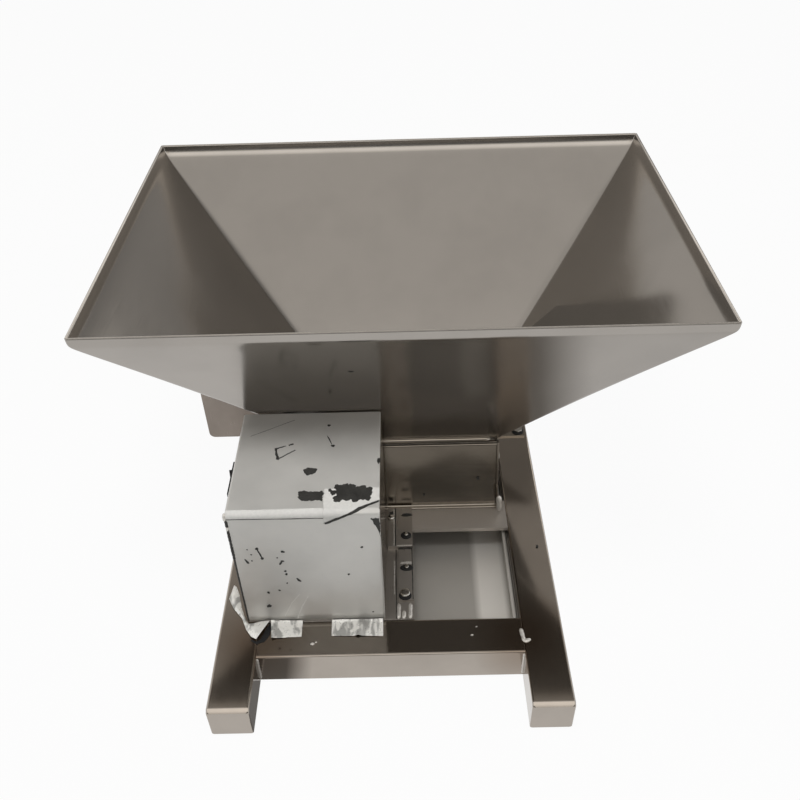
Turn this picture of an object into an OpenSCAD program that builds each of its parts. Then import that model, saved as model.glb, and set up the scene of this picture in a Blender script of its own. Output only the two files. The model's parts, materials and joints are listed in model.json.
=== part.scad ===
// Bread crumb machine. A welded stainless base carries a wide sheet hopper over a toothed drum.
// A motor under its own cover turns the drum through a belt, and crumbs fall into a drawer below.
// Millimetres. +Z is up, +X right and +Y away from the front legs.
// The origin is on the ground, in the middle of the machine's outline.

/* [Base frame] */
// Side of the square tube
tube = 40; // [34:1:46]
// Wall of the square tube
tube_wall = 2; // [1:0.5:4]
// Outer corner radius of the square tube
tube_round = 3; // [1:0.5:5]
// Outside width of the base
frame_w = 340; // [325:1:370]
// Length of the side beams
beam_l = 450; // [425:1:540]
// Length of the front legs, ahead of the front cross tube
leg_l = 56; // [30:1:66]
// Sideways place of the base's middle, from the hopper's middle
frame_shift = -19; // [-26:1:-10]
// Thickness of the plates that close the beam ends
cap_t = 2; // [1:0.5:4]
// Width of the flat cross bars
bar_w = 40; // [30:1:46]
// Thickness of the flat cross bars
bar_t = 5; // [4:0.5:7]

/* [Hopper] */
// Width over the rim
rim_w = 575; // [540:1:640]
// Depth over the rim
rim_d = 400; // [370:1:440]
// Height of the rim above the ground
rim_z = 337; // [315:1:370]
// Height of the upright lip round the rim
lip_h = 9; // [5:1:16]
// Distance from the leg ends back to the rim
rim_setback = 174; // [168:1:184]
// Distance from the front of the rim back to the throat
throat_inset = 95; // [85:1:105]
// Width of the throat
throat_w = 183; // [175:1:190]
// Depth of the throat
throat_d = 104; // [98:1:118]
// Sideways place of the throat's middle, from the rim's middle
throat_shift = 8.5; // [4:0.5:12]
// Wall of the hopper, measured level
hopper_wall = 2; // [1:0.5:3]
// Length of the spigot below the throat
spigot_l = 10; // [9:1:14]

/* [Grinding chamber] */
// Thickness of the chamber's side plates
plate_t = 2; // [1.5:0.5:4]
// Thickness of the front and rear panels
panel_t = 1.5; // [1:0.5:3]
// How far the front panel's foot stands ahead of its top
panel_lean = 20; // [12:1:24]
// Depth of the lip at the top of the front panel
panel_lip = 4; // [2:1:6]
// How far the panels' feet reach over the cross bars
bar_seat = 5; // [3:1:8]
// Width of the foot on the left side plate
left_foot_w = 24; // [18:1:30]
// How far the right side plate's foot reaches over the right beam
right_foot_w = 36; // [26:1:38]
// Diameter of the fixing bolts
bolt_d = 6; // [5:0.5:7]

/* [Toothed drum] */
// Radius over the teeth
disc_r = 40; // [37:0.5:42]
// Thickness of a toothed disc
disc_t = 5; // [3:0.5:6]
// Number of toothed discs
disc_count = 11; // [8:1:12]
// Number of teeth on a disc
tooth_count = 12; // [8:1:16]
// Depth of a tooth
tooth_depth = 9; // [5:0.5:12]
// Radius of the spacer rings between the discs
spacer_r = 16; // [13:0.5:20]
// Diameter of the drum shaft
shaft_d = 20; // [16:1:22]
// Gap between the drum and each side plate
end_play = 2; // [1:0.5:4]
// Gap between the teeth and the screen
screen_gap = 3; // [1.5:0.5:3.5]
// Thickness of the screen
screen_t = 1.2; // [0.8:0.1:1.6]
// Number of slots along the screen
slot_count = 7; // [5:1:9]
// Thickness of a comb finger
comb_t = 4; // [2:0.5:5]

/* [Bearings] */
// Diameter of a bearing hub
hub_d = 58; // [56:1:62]
// Length of a bearing hub
hub_t = 16; // [12:1:20]
// Thickness of the right hub's flange, whose boss reaches into the chamber
right_flange_t = 4; // [3:0.5:6]
// Outside diameter of a bearing
bearing_d = 36; // [32:1:37]
// Diameter of the circle that the hub bolts stand on
hub_bolt_circle = 48; // [47:1:50]
// Diameter of a hub bolt
hub_bolt_d = 4; // [3:0.5:4.5]

/* [Drive] */
// Pitch radius of the drum pulley
drum_pulley_r = 33; // [28:0.5:34]
// Pitch radius of the motor pulley
motor_pulley_r = 22; // [19:0.5:26]
// Width of both pulleys
pulley_w = 18; // [16:0.5:20]
// Gap between the left bearing hub and the drum pulley
pulley_gap = 19; // [15:1:20]
// Width of the belt
belt_w = 7.8; // [6:0.1:8]
// Thickness of the belt
belt_t = 7; // [6:0.5:8]
// Radius of the motor
motor_r = 50; // [44:1:54]
// Length of the motor with its end bells
motor_l = 82; // [70:1:84]
// Thickness of a motor end bell
bell_t = 8; // [6:1:12]
// Diameter of the motor shaft
motor_shaft_d = 14; // [10:1:18]
// Gap between the motor pulley and the motor
motor_gap = 8.3; // [5:0.1:10]
// Height of the motor's underside above the base plate
motor_lift = 18; // [14:1:22]
// Thickness of the motor's base plate
base_plate_t = 4; // [3:0.5:6]
// Thickness of the belt guard
guard_t = 1.5; // [1:0.5:2]

/* [Motor cover] */
// Width of the motor cover
cover_w = 138; // [136:1:144]
// Height of the motor cover
cover_h = 158; // [150:1:166]
// Thickness of the motor cover
cover_t = 1.2; // [0.8:0.1:2]
// Distance of the cover's left side from the motor pulley inside it
cover_inset = 23.5; // [12:0.5:27]
// Distance from the cover's front to the middle of the switch
switch_setback = 50.5; // [30:0.5:60]
// Distance from the cover's top down to the middle of the switch
switch_drop = 17; // [15:0.5:40]
// Length of the rocker switch
switch_l = 42; // [42:1:50]
// Height of the rocker switch
switch_h = 26; // [24:1:30]

/* [Mounting rail] */
// Width of the mounting rail
rail_w = 18; // [16:1:22]
// Distance from the cover's right side to the rail
rail_gap = 10.8; // [8:0.2:14]
// Thickness of the rear clamp plate
clamp_t = 4; // [3:0.5:6]
// Thickness of the front stop plate
stop_t = 2.5; // [2:0.5:4]

/* [Control box] */
// Width of the control box
box_w = 63; // [60:1:68]
// Depth of the control box
box_d = 72; // [62:1:84]
// Height of the control box
box_h = 73; // [68:1:78]
// Height of the control box's underside above the ground
box_z = 143; // [140:1:147]
// Radius of the control box's rounded corners
box_round = 6; // [3:0.5:9]
// Wall of the control box
box_t = 1.5; // [1:0.5:2.5]

/* [Crumb drawer] */
// Height of the drawer's rim above the ground
tray_top = 30; // [26:1:30]
// Sheet of the drawer
tray_t = 1.2; // [0.8:0.1:2]
// Width of the hem folded inward round the drawer's rim
hem_w = 3; // [2:0.5:5]
// Sheet of the two runners
runner_t = 1.5; // [1:0.5:2.5]
// Height of the runners' underside above the ground
runner_z = 3; // [2:0.5:5]
// Width of a runner's ledge
ledge_w = 13; // [10:1:16]
// Width of the drawer's pull
pull_w = 90; // [70:1:120]
// How far the pull stands out from the drawer
pull_d = 18; // [14:1:24]

/* [Hidden] */
$fn = 64;

// Clearances
shaft_fit = 0.05;      // radial, a turning shaft in its bearing
seat_fit = 0.02;       // radial, a bearing in its hub
bolt_fit = 0.3;        // radial, a bolt in its hole
slide_gap = 0.2;       // between the drawer and its ledges
side_gap = 0.5;        // between the drawer and its runners' webs
belt_clear = 1.5;      // between the belt and the bottom of a groove
cover_gap = 0.6;       // between the cover and the hopper's front wall
box_gap = 4;           // between the control box and the hopper's left wall
guard_gap = 6.5;       // between the pulleys and the belt guard
throat_gap = 2;        // between the teeth and the throat
gland_clear = 2;       // between the capacitor and the gland
foot_edge = 7.5;       // from a foot's edge to its bolts
plate_gap = 1;         // between plates that lie end to end
past = 1;              // how far a cutting shape runs past a face

// Outline of the base
y_front = -(rim_setback + rim_d) / 2;
y_back = y_front + beam_l;
left_out = frame_shift - frame_w / 2;
right_out = frame_shift + frame_w / 2;
left_in = left_out + tube;
right_in = right_out - tube;
cross_front = y_front + leg_l;
cross_back = cross_front + tube;

// Drum, throat and hopper walls
drum_z = tube + disc_r;
throat_z = drum_z + disc_r + throat_gap;
lip_z = rim_z - lip_h;
spigot_z = throat_z - spigot_l;
rim_left = -rim_w / 2;
rim_right = rim_w / 2;
rim_front = y_front + rim_setback;
rim_back = rim_front + rim_d;
throat_left = throat_shift - throat_w / 2;
throat_right = throat_shift + throat_w / 2;
throat_front = rim_front + throat_inset;
throat_back = throat_front + throat_d;
drum_y = (throat_front + throat_back) / 2;
left_slope = (throat_left - rim_left) / (lip_z - throat_z);
front_slope = throat_inset / (lip_z - throat_z);
function left_wall_at(z) = throat_left - (z - throat_z) * left_slope;
function front_wall_at(z) = throat_front - (z - throat_z) * front_slope;

// Chamber
panel_foot = throat_front - panel_lean;
panel_foot_l = 5;
panel_top = throat_z - bolt_fit;
panel_level_t = panel_t * sqrt(1 + pow(panel_lean / (throat_z - tube), 2));
function panel_inner_at(z) = panel_foot + (z - tube) * panel_lean / (throat_z - tube);
chamber_back = throat_back + panel_t;
bar_z = tube - bar_t;
mid_bar_back = panel_foot + bar_seat;
mid_bar_front = mid_bar_back - bar_w;
rear_bar_front = throat_back - bar_seat - panel_t;
rear_bar_back = rear_bar_front + bar_w;
left_plate_out = throat_left - plate_t;
right_plate_out = throat_right + plate_t;

// Fasteners
head_af = bolt_d * 1.65;
head_h = bolt_d * 0.65;
nut_h = bolt_d * 0.5;
hub_head_af = hub_bolt_d * 1.7;
hub_head_h = hub_bolt_d * 0.7;
hopper_bolt_z = throat_z - spigot_l / 2;
hopper_bolt_ys = [throat_front + throat_d * 0.2, throat_back - throat_d * 0.2];
right_foot_l = 34;
right_foot_reach = 22;
right_foot_pitch = 17.5;
right_foot_back = throat_back + right_foot_reach;
right_foot_front = right_foot_back - right_foot_l;
right_foot_edge = right_in + right_foot_w;
right_foot_bolts = [for (y = [-foot_edge - right_foot_pitch, -foot_edge])
                    [right_foot_edge - foot_edge, right_foot_back + y]];
left_foot_lap = 17;
left_foot_inset = 6;
left_foot_front = mid_bar_back - left_foot_lap;
left_foot_back = rear_bar_back - left_foot_inset;
left_foot_bolts = [for (y = [left_foot_front + foot_edge, left_foot_back - foot_edge])
                   [left_plate_out - left_foot_w / 2, y]];

// Drum stack
shaft_r = shaft_d / 2;
right_boss_l = hub_t - right_flange_t - plate_t;
stack_left = throat_left + end_play;
stack_l = throat_w - 2 * end_play - right_boss_l;
spacer_l = (stack_l - disc_count * disc_t) / (disc_count + 1);
disc_pitch = disc_t + spacer_l;
screen_r = disc_r + screen_gap;
screen_end_a = 20;
screen_end_z = drum_z - screen_r * sin(screen_end_a);
hub_r = hub_d / 2;
bearing_r = bearing_d / 2;
boss_wall = 1.5;
boss_r = bearing_r + boss_wall;
left_hub_out = left_plate_out - hub_t;
right_hub_out = right_plate_out + right_flange_t;

// Belt drive
pulley_right = left_hub_out - pulley_gap;
pulley_left = pulley_right - pulley_w;
pulley_mid = (pulley_left + pulley_right) / 2;
shaft_end = 3;
shaft_left = pulley_left - shaft_end;
groove_depth = belt_t + 2;
groove_half = belt_w / 2;
flange_over = 3;
guard_left = pulley_left - guard_gap - guard_t;
guard_front = mid_bar_front + bar_w / 2 + bar_seat;
guard_reach = 12;
guard_back = drum_y + drum_pulley_r + guard_reach;
left_mid = (left_out + left_in) / 2;
guard_foot_left = min(guard_left, left_mid - foot_edge);
guard_foot_right = max(guard_left + guard_t, left_mid + foot_edge);
guard_bolts = [for (y = [guard_front + 2 * foot_edge, guard_back - 2 * foot_edge]) [left_mid, y]];
guard_top = throat_z + (throat_left - guard_left - box_gap) / left_slope - box_gap;

// Motor cover and motor
cover_left = pulley_left - cover_inset;
cover_right = cover_left + cover_w;
cover_top = tube + cover_h;
cover_front = cross_back + plate_gap;
cover_back = front_wall_at(cover_top) - cover_gap;
motor_y = (cover_front + cover_back) / 2;
motor_z = tube + motor_lift + motor_r;
motor_left = pulley_right + motor_gap;
motor_right = motor_left + motor_l;
motor_shaft_r = motor_shaft_d / 2;
housing_wall = 3;
stator_out = motor_r - housing_wall;
rotor_r = motor_r * 0.62;
rotor_gap = 0.8;
core_gap = 6;
core_left = motor_left + bell_t + core_gap;
core_l = motor_l - 2 * (bell_t + core_gap);
cradle_half = motor_r * 0.68;
cradle_gap = 4;
cradle_left = motor_left + bell_t + cradle_gap;
cradle_l = motor_l - 2 * (bell_t + cradle_gap);
cradle_foot_l = bell_t + cradle_gap;
cradle_foot_t = 5;
motor_bolts_at = [for (x = [cradle_left - cradle_foot_l / 2, cradle_left + cradle_l + cradle_foot_l / 2], y = [-1, 1])
                  [x, motor_y + y * cradle_half * 0.6]];
belt_rise = motor_z - drum_z;
belt_run = drum_y - motor_y;
belt_span = sqrt(belt_run * belt_run + belt_rise * belt_rise);
belt_mid_z = motor_z - belt_rise * (cover_back - motor_y) / belt_run;
door_margin = 5;
belt_door_half = drum_pulley_r + flange_over + door_margin;

// Rocker switch
switch_y = cover_front + switch_setback;
switch_z = cover_top - switch_drop;
switch_rim = 4;
switch_body = 2;
switch_clear = 0.2;
switch_in_l = switch_l / 2 - switch_rim;
switch_in_h = switch_h / 2 - switch_rim;
switch_deep = 16;
rocker_gap = 1.5;
rocker_tilt = 7;
rocker_deep = 3;
rocker_x = cover_left + rocker_deep;
trunnion_r = 1.5;

// Mounting rail and plates on it
rail_left = cover_right + rail_gap;
rail_right = rail_left + rail_w;
clamp_lap = 27;
clamp_bolt_lap = 12;
rail_bolt_edge = 7;
stop_setback = 22;
stop_bolt_share = 0.6;
stop_inset = 2;
nut_edge = 5.5;
nut_pitch = 12;
slot_l = 10;
slot_w = 3;
clamp_left = cover_right + stop_inset;
clamp_front = mid_bar_front - clamp_lap;
clamp_back = panel_foot - panel_foot_l - side_gap;
stop_front = cross_back + stop_setback;
stop_back = clamp_front - plate_gap;
rail_bolt_x = rail_right - rail_bolt_edge;
clamp_bolt = [rail_bolt_x, mid_bar_front - clamp_bolt_lap];
stop_bolt = [rail_bolt_x, stop_front + (stop_back - stop_front) * stop_bolt_share];
round_bolt = [rail_bolt_x - stop_inset, stop_front + foot_edge];
clamp_nuts = [for (y = [-2 * nut_edge - nut_pitch, -2 * nut_edge]) [clamp_left + nut_edge, clamp_back + y]];
clamp_slot = [rail_right - slot_l / 2, clamp_back - slot_l];

// Control box on the belt guard
box_right = guard_left;
box_left = box_right - box_w;
box_top = box_z + box_h;
box_lead = 9;
box_front = throat_front - box_lead;
box_back = box_front + box_d;
lid_t = 1.5;
capacitor_r = 15;
gland_r = 8;
gland_inset = 14;
gland_at = [(box_left + box_right) / 2, box_back - gland_inset];
capacitor_l = gland_at[1] - gland_r - gland_clear - box_front - box_t;

// Drawer and runners
ledge_z = runner_z + runner_t;
tray_z = ledge_z + slide_gap;
tray_clear = 2.5;
tray_reach = 4;
tray_spread = 6;
left_web = throat_left - tray_spread - side_gap - runner_t;
tray_left = left_web + runner_t + side_gap;
tray_right = right_in - runner_t - side_gap;
tray_front = cross_back + tray_clear;
tray_back = rear_bar_back + tray_reach;
runner_front = cross_back + tray_clear - side_gap;
runner_l = rear_bar_back - runner_front;
pull_rise = 6;
pull_z = tray_z + pull_rise;
pull_h = 14;
pull_t = 2;
pull_mid = (tray_left + tray_right) / 2;
pull_foot = 12;

// Colours
STEEL = "#b4b0a8";
BRIGHT_STEEL = "#c9c6bf";
DARK_STEEL = "#77736c";
FILM_GREY = "#b7b5b1";
BLACK_RUBBER = "#26262a";
MOTOR_GREY = "#6f757b";
BLACK_PLASTIC = "#1d1d1f";
COPPER = "#a8683c";
BOX_GREY = "#a29e98";

// A flat outline in Y and Z, carried along X
module along_x(x, l) {
  translate([x, 0, 0]) rotate([90, 0, 90]) linear_extrude(l) children();
}

// A flat outline in X and Z, carried along Y
module along_y(y, l) {
  translate([0, y + l, 0]) rotate([90, 0, 0]) linear_extrude(l) children();
}

// A block given by its two corners
module block(low, high) {
  translate(low) cube(high - low);
}

// A round bar along X through the point y, z
module bar_x(x, l, r, y, z) {
  translate([x, y, z]) rotate([0, 90, 0]) cylinder(h = l, r = r);
}

// A square with round corners
module round_square(w, r) {
  translate([r, 0]) square([w - 2 * r, w]);
  translate([0, r]) square([w, w - 2 * r]);
  for (x = [r, w - r], y = [r, w - r]) translate([x, y]) circle(r);
}

// The tube's section, hollow
module tube_section() {
  difference() {
    round_square(tube, tube_round);
    translate([tube_wall, tube_wall]) square(tube - 2 * tube_wall);
  }
}

// A bolt seated at z = 0, with a hexagon head above and its shank below
module hex_bolt(d, af, head, shank) {
  rotate(30) cylinder(h = head, d = af / cos(30), $fn = 6);
  translate([0, 0, -shank]) cylinder(h = shank + head / 2, d = d);
}

// A bolt with a low round head
module round_bolt(d, head_d, head, shank) {
  cylinder(h = head, d = head_d);
  translate([0, 0, -shank]) cylinder(h = shank + head / 2, d = d);
}

// A hole for a bolt, downward through everything from z = 0
module bolt_hole(at, top, depth, d = bolt_d) {
  translate([at[0], at[1], top - depth]) cylinder(h = depth + past, d = d + 2 * bolt_fit);
}

// Base frame
module side_beam(x) {
  color(STEEL) translate([x, 0, 0]) along_y(y_front + cap_t, beam_l - 2 * cap_t) tube_section();
}

module bolted_beam(x, bolts) {
  difference() {
    side_beam(x);
    for (at = bolts) bolt_hole(at, tube, tube / 2);
  }
}

module left_beam() { bolted_beam(left_out, guard_bolts); }
module right_beam() { bolted_beam(right_in, right_foot_bolts); }

module front_cross_tube() {
  color(STEEL) along_x(left_in, right_in - left_in) translate([cross_front, 0]) tube_section();
}

module cross_bar(y) {
  block([left_in, y, bar_z], [right_in, y + bar_w, tube]);
}

module middle_cross_bar() {
  color(BRIGHT_STEEL) difference() {
    cross_bar(mid_bar_front);
    bolt_hole(left_foot_bolts[0], tube, bar_t + past);
  }
}

module rear_cross_bar() {
  color(STEEL) difference() {
    cross_bar(rear_bar_front);
    bolt_hole(left_foot_bolts[1], tube, bar_t + past);
  }
}

module beam_end_caps() {
  color(BRIGHT_STEEL) for (x = [left_out, right_in], y = [y_front, y_back - cap_t])
    translate([x, 0, 0]) along_y(y, cap_t) round_square(tube, tube_round);
}

module motor_base_plate() {
  color(DARK_STEEL) difference() {
    block([left_in, cross_back, tube - base_plate_t], [rail_left, mid_bar_front, tube]);
    for (at = motor_bolts_at) bolt_hole(at, tube, base_plate_t + past);
  }
}

// Mounting rail beside the cover, with the plates bolted on it
module mounting_rail() {
  color(DARK_STEEL) difference() {
    block([rail_left, cross_back, bar_z], [rail_right, mid_bar_front, tube]);
    for (at = [clamp_bolt, stop_bolt, round_bolt]) bolt_hole(at, tube, bar_t + past);
  }
}

module clamp_plate() {
  color(STEEL) difference() {
    block([clamp_left, clamp_front, tube], [rail_right, clamp_back, tube + clamp_t]);
    bolt_hole(clamp_bolt, tube + clamp_t, clamp_t + past);
    translate([clamp_slot[0] - slot_l / 2, clamp_slot[1] - slot_w / 2, tube - past])
      cube([slot_l, slot_w, clamp_t + 2 * past]);
  }
}

module stop_plate() {
  color(STEEL) difference() {
    block([rail_left + stop_inset, stop_front, tube], [rail_right, stop_back, tube + stop_t]);
    for (at = [stop_bolt, round_bolt]) bolt_hole(at, tube + stop_t, stop_t + past);
  }
}

module rail_bolts() {
  reach = bar_t + 2;
  color(BRIGHT_STEEL) {
    translate([clamp_bolt[0], clamp_bolt[1], tube + clamp_t])
      round_bolt(bolt_d, bolt_d * 1.5, head_h, clamp_t + reach);
    translate([stop_bolt[0], stop_bolt[1], tube + stop_t])
      round_bolt(bolt_d, bolt_d * 1.5, head_h, stop_t + reach);
    translate([round_bolt[0], round_bolt[1], tube + stop_t])
      round_bolt(bolt_d, bolt_d * 1.75, head_h, stop_t + reach);
    for (at = clamp_nuts) translate([at[0], at[1], tube + clamp_t])
      cylinder(h = nut_h * 1.4, d = bolt_d * 1.5, $fn = 6);
  }
}

// Hopper: four sheets, each a bent strip cut to the outline of the walls beside it
// A strip through the throat and the rim, bent upright at both, wall thick to one side
module wall_strip(throat, rim, wall) {
  polygon([[throat, spigot_z], [throat, throat_z], [rim, lip_z], [rim, rim_z],
           [rim + wall, rim_z], [rim + wall, lip_z], [throat + wall, throat_z], [throat + wall, spigot_z]]);
}

// The hopper's outline between two opposite walls, inset from their outer faces
module hopper_outline(rim_low, rim_high, throat_low, throat_high, inset) {
  polygon([[throat_low + inset, spigot_z], [throat_low + inset, throat_z],
           [rim_low + inset, lip_z], [rim_low + inset, rim_z],
           [rim_high - inset, rim_z], [rim_high - inset, lip_z],
           [throat_high - inset, throat_z], [throat_high - inset, spigot_z]]);
}

module side_wall(throat, rim, wall) {
  color(BRIGHT_STEEL) difference() {
    intersection() {
      along_y(rim_front, rim_d) wall_strip(throat, rim, wall);
      along_x(rim_left, rim_w) hopper_outline(rim_front, rim_back, throat_front, throat_back, 0);
    }
    hopper_bolt_holes();
  }
}

module end_wall(throat, rim, wall) {
  color(BRIGHT_STEEL) intersection() {
    along_x(rim_left, rim_w) wall_strip(throat, rim, wall);
    along_y(rim_front, rim_d) hopper_outline(rim_left, rim_right, throat_left, throat_right, hopper_wall);
  }
}

module hopper_left_wall() { side_wall(throat_left, rim_left, hopper_wall); }
module hopper_right_wall() { side_wall(throat_right, rim_right, -hopper_wall); }
module hopper_front_wall() { end_wall(throat_front, rim_front, hopper_wall); }
module hopper_rear_wall() { end_wall(throat_back, rim_back, -hopper_wall); }

module hopper_bolt_holes() {
  for (y = hopper_bolt_ys)
    bar_x(left_plate_out - past, throat_w + 2 * (plate_t + past), bolt_d / 2 + bolt_fit, y, hopper_bolt_z);
}

module hopper_bolts() {
  grip = plate_t + hopper_wall;
  color(BRIGHT_STEEL) for (y = hopper_bolt_ys, side = [-1, 1])
    translate([side < 0 ? left_plate_out : right_plate_out, y, hopper_bolt_z]) rotate([0, side * 90, 0]) {
      hex_bolt(bolt_d, head_af, head_h, grip + nut_h + 1);
      translate([0, 0, -grip - nut_h]) cylinder(h = nut_h, d = head_af / cos(30), $fn = 6);
    }
}

// Grinding chamber
module side_plate_outline(hole_r) {
  difference() {
    polygon([[panel_foot - panel_level_t - panel_lip, tube],
             [throat_front - panel_level_t - panel_lip, panel_top],
             [chamber_back, panel_top], [chamber_back, tube]]);
    translate([drum_y, drum_z]) circle(hole_r);
    for (y = hopper_bolt_ys) translate([y, hopper_bolt_z]) circle(bolt_d / 2 + bolt_fit);
    hub_bolt_circle() circle(hub_bolt_d / 2 + bolt_fit);
  }
}

// Four places on the hub's bolt circle, in Y and Z
module hub_bolt_circle() {
  for (a = [45:90:315])
    translate([drum_y + hub_bolt_circle / 2 * cos(a), drum_z + hub_bolt_circle / 2 * sin(a)]) children();
}

module left_side_plate() {
  color(STEEL) difference() {
    union() {
      along_x(left_plate_out, plate_t) side_plate_outline(shaft_r + 3);
      block([left_plate_out - left_foot_w, left_foot_front, tube],
            [left_plate_out + plate_t, left_foot_back, tube + plate_t]);
    }
    for (at = left_foot_bolts) bolt_hole(at, tube + plate_t, plate_t + past);
  }
}

module right_side_plate() {
  color(STEEL) difference() {
    union() {
      along_x(throat_right, plate_t) side_plate_outline(boss_r + bolt_fit);
      block([throat_right, right_foot_front, tube],
            [right_foot_edge, right_foot_back, tube + plate_t]);
    }
    for (at = right_foot_bolts) bolt_hole(at, tube + plate_t, plate_t + past);
  }
}

module front_panel() {
  lip_under = panel_top - panel_t;
  foot_over = tube + panel_t;
  color(DARK_STEEL) along_x(throat_left, throat_w) polygon([
    [panel_foot - panel_foot_l, tube], [panel_foot, tube],
    [panel_inner_at(panel_top), panel_top],
    [panel_inner_at(panel_top) - panel_level_t - panel_lip, panel_top],
    [panel_inner_at(panel_top) - panel_level_t - panel_lip, lip_under],
    [panel_inner_at(lip_under) - panel_level_t, lip_under],
    [panel_inner_at(foot_over) - panel_level_t, foot_over], [panel_foot - panel_foot_l, foot_over]]);
}

module rear_panel() {
  color(STEEL) block([throat_left, throat_back, tube], [throat_right, chamber_back, panel_top]);
}

module foot_bolts() {
  color(BRIGHT_STEEL) {
    for (at = right_foot_bolts) translate([at[0], at[1], tube + plate_t])
      hex_bolt(bolt_d, head_af, head_h, plate_t + tube_wall + 4);
    for (at = left_foot_bolts) translate([at[0], at[1], tube + plate_t])
      hex_bolt(bolt_d, head_af, head_h, plate_t + bar_t);
    for (at = guard_bolts) translate([at[0], at[1], tube + guard_t])
      hex_bolt(bolt_d, head_af, head_h, guard_t + tube_wall + 4);
  }
}

// Curved screen under the drum, with rows of slots and a flange to each panel
module crumb_screen() {
  slot_share = 0.62;
  slot_w = 4;
  pitch = throat_w / slot_count;
  flange_z = screen_end_z - screen_t;
  reach = screen_r * cos(screen_end_a) + 0.2;
  color(STEEL) difference() {
    along_x(throat_left, throat_w) {
      intersection() {
        difference() {
          translate([drum_y, drum_z]) circle(screen_r + screen_t, $fn = 96);
          translate([drum_y, drum_z]) circle(screen_r, $fn = 96);
        }
        translate([drum_y - 2 * screen_r, 0]) square([4 * screen_r, screen_end_z]);
      }
      polygon([[panel_inner_at(flange_z) + slide_gap, flange_z], [drum_y - reach, flange_z],
               [drum_y - reach, screen_end_z], [panel_inner_at(screen_end_z) + slide_gap, screen_end_z]]);
      translate([drum_y + reach, flange_z]) square([throat_back - drum_y - reach, screen_t]);
    }
    for (i = [0:slot_count - 1], a = [-48:16:48])
      translate([throat_left + (i + 0.5) * pitch, drum_y, drum_z]) rotate([a, 0, 0])
        translate([-pitch * slot_share / 2, -slot_w / 2, -screen_r - screen_t - past])
          cube([pitch * slot_share, slot_w, screen_t + 3]);
  }
}

// Fixed comb whose fingers stand between the toothed discs
module shear_comb() {
  bar_deep = 6;
  bar_h = 8;
  finger_front = drum_y + spacer_r + 1.5;
  color(STEEL) {
    block([throat_left, throat_back - bar_deep, drum_z - bar_h / 2], [throat_right, throat_back, drum_z + bar_h / 2]);
    for (i = [1:disc_count - 1])
      translate([stack_left + i * disc_pitch + spacer_l / 2 - comb_t / 2, finger_front, drum_z - bar_h / 2])
        cube([comb_t, throat_back - bar_deep - finger_front + past, bar_h]);
  }
}

// Toothed drum
module drum_shaft() {
  color(BRIGHT_STEEL) bar_x(shaft_left, right_hub_out + 1 - shaft_left, shaft_r, drum_y, drum_z);
}

module toothed_discs() {
  twist = 8;
  step = 360 / tooth_count;
  color(STEEL) for (i = [0:disc_count - 1])
    along_x(stack_left + spacer_l + i * disc_pitch, disc_t) translate([drum_y, drum_z]) difference() {
      rotate(i * twist) polygon([for (t = [0:tooth_count - 1], k = [0, 1])
        let (r = k == 0 ? disc_r : disc_r - tooth_depth, a = (t + k * 0.35) * step) [r * cos(a), r * sin(a)]]);
      circle(shaft_r);
    }
}

module spacer_rings() {
  color(BRIGHT_STEEL) for (i = [0:disc_count])
    along_x(stack_left + i * disc_pitch, spacer_l) translate([drum_y, drum_z]) difference() {
      circle(spacer_r);
      circle(shaft_r);
    }
}

// Bearings
module hub_flange(x, l) {
  along_x(x, l) difference() {
    translate([drum_y, drum_z]) circle(hub_r);
    translate([drum_y, drum_z]) circle(bearing_r);
    hub_bolt_circle() circle(hub_bolt_d / 2 + bolt_fit);
  }
}

module left_bearing_hub() { color(DARK_STEEL) hub_flange(left_hub_out, hub_t); }

module right_bearing_hub() {
  color(DARK_STEEL) {
    hub_flange(right_plate_out, right_flange_t);
    along_x(throat_right - right_boss_l, hub_t - right_flange_t) translate([drum_y, drum_z]) difference() {
      circle(boss_r);
      circle(bearing_r);
    }
  }
}

module drum_bearings() {
  color(BRIGHT_STEEL) for (x = [left_hub_out, throat_right - right_boss_l])
    along_x(x, hub_t) translate([drum_y, drum_z]) difference() {
      circle(bearing_r - seat_fit);
      circle(shaft_r + shaft_fit);
    }
}

module hub_bolts() {
  color(BRIGHT_STEEL) for (side = [-1, 1], a = [45:90:315])
    translate([side < 0 ? left_hub_out : right_hub_out,
               drum_y + hub_bolt_circle / 2 * cos(a), drum_z + hub_bolt_circle / 2 * sin(a)])
      rotate([0, side * 90, 0])
        hex_bolt(hub_bolt_d, hub_head_af, hub_head_h, plate_t + (side < 0 ? hub_t : right_flange_t));
}

// Belt drive
module pulley(pitch_r, bore_r, y, z) {
  rim = pitch_r + flange_over;
  floor_r = pitch_r + flange_over - groove_depth - belt_clear;
  half = pulley_w / 2;
  translate([pulley_mid, y, z]) rotate([0, 90, 0]) rotate_extrude() polygon([
    [bore_r, -half], [rim, -half], [rim, -groove_half - 2.2], [floor_r, -groove_half - 0.4],
    [floor_r, groove_half + 0.4], [rim, groove_half + 2.2], [rim, half], [bore_r, half]]);
}

module drum_pulley() { color(MOTOR_GREY) pulley(drum_pulley_r, shaft_r, drum_y, drum_z); }
module motor_pulley() { color(MOTOR_GREY) pulley(motor_pulley_r, motor_shaft_r, motor_y, motor_z); }

// Outline of a belt round both pulleys, lift outside their pitch circles
module belt_loop(lift) {
  r1 = motor_pulley_r + lift;
  r2 = drum_pulley_r + lift;
  lean = atan2(-belt_rise, belt_run);
  wrap = acos((r1 - r2) / belt_span);
  translate([motor_y, motor_z]) circle(r1);
  translate([drum_y, drum_z]) circle(r2);
  polygon([for (e = [[motor_y, motor_z, r1, 1], [motor_y, motor_z, r1, -1],
                     [drum_y, drum_z, r2, -1], [drum_y, drum_z, r2, 1]])
    [e[0] + e[2] * cos(lean + e[3] * wrap), e[1] + e[2] * sin(lean + e[3] * wrap)]]);
}

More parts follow.
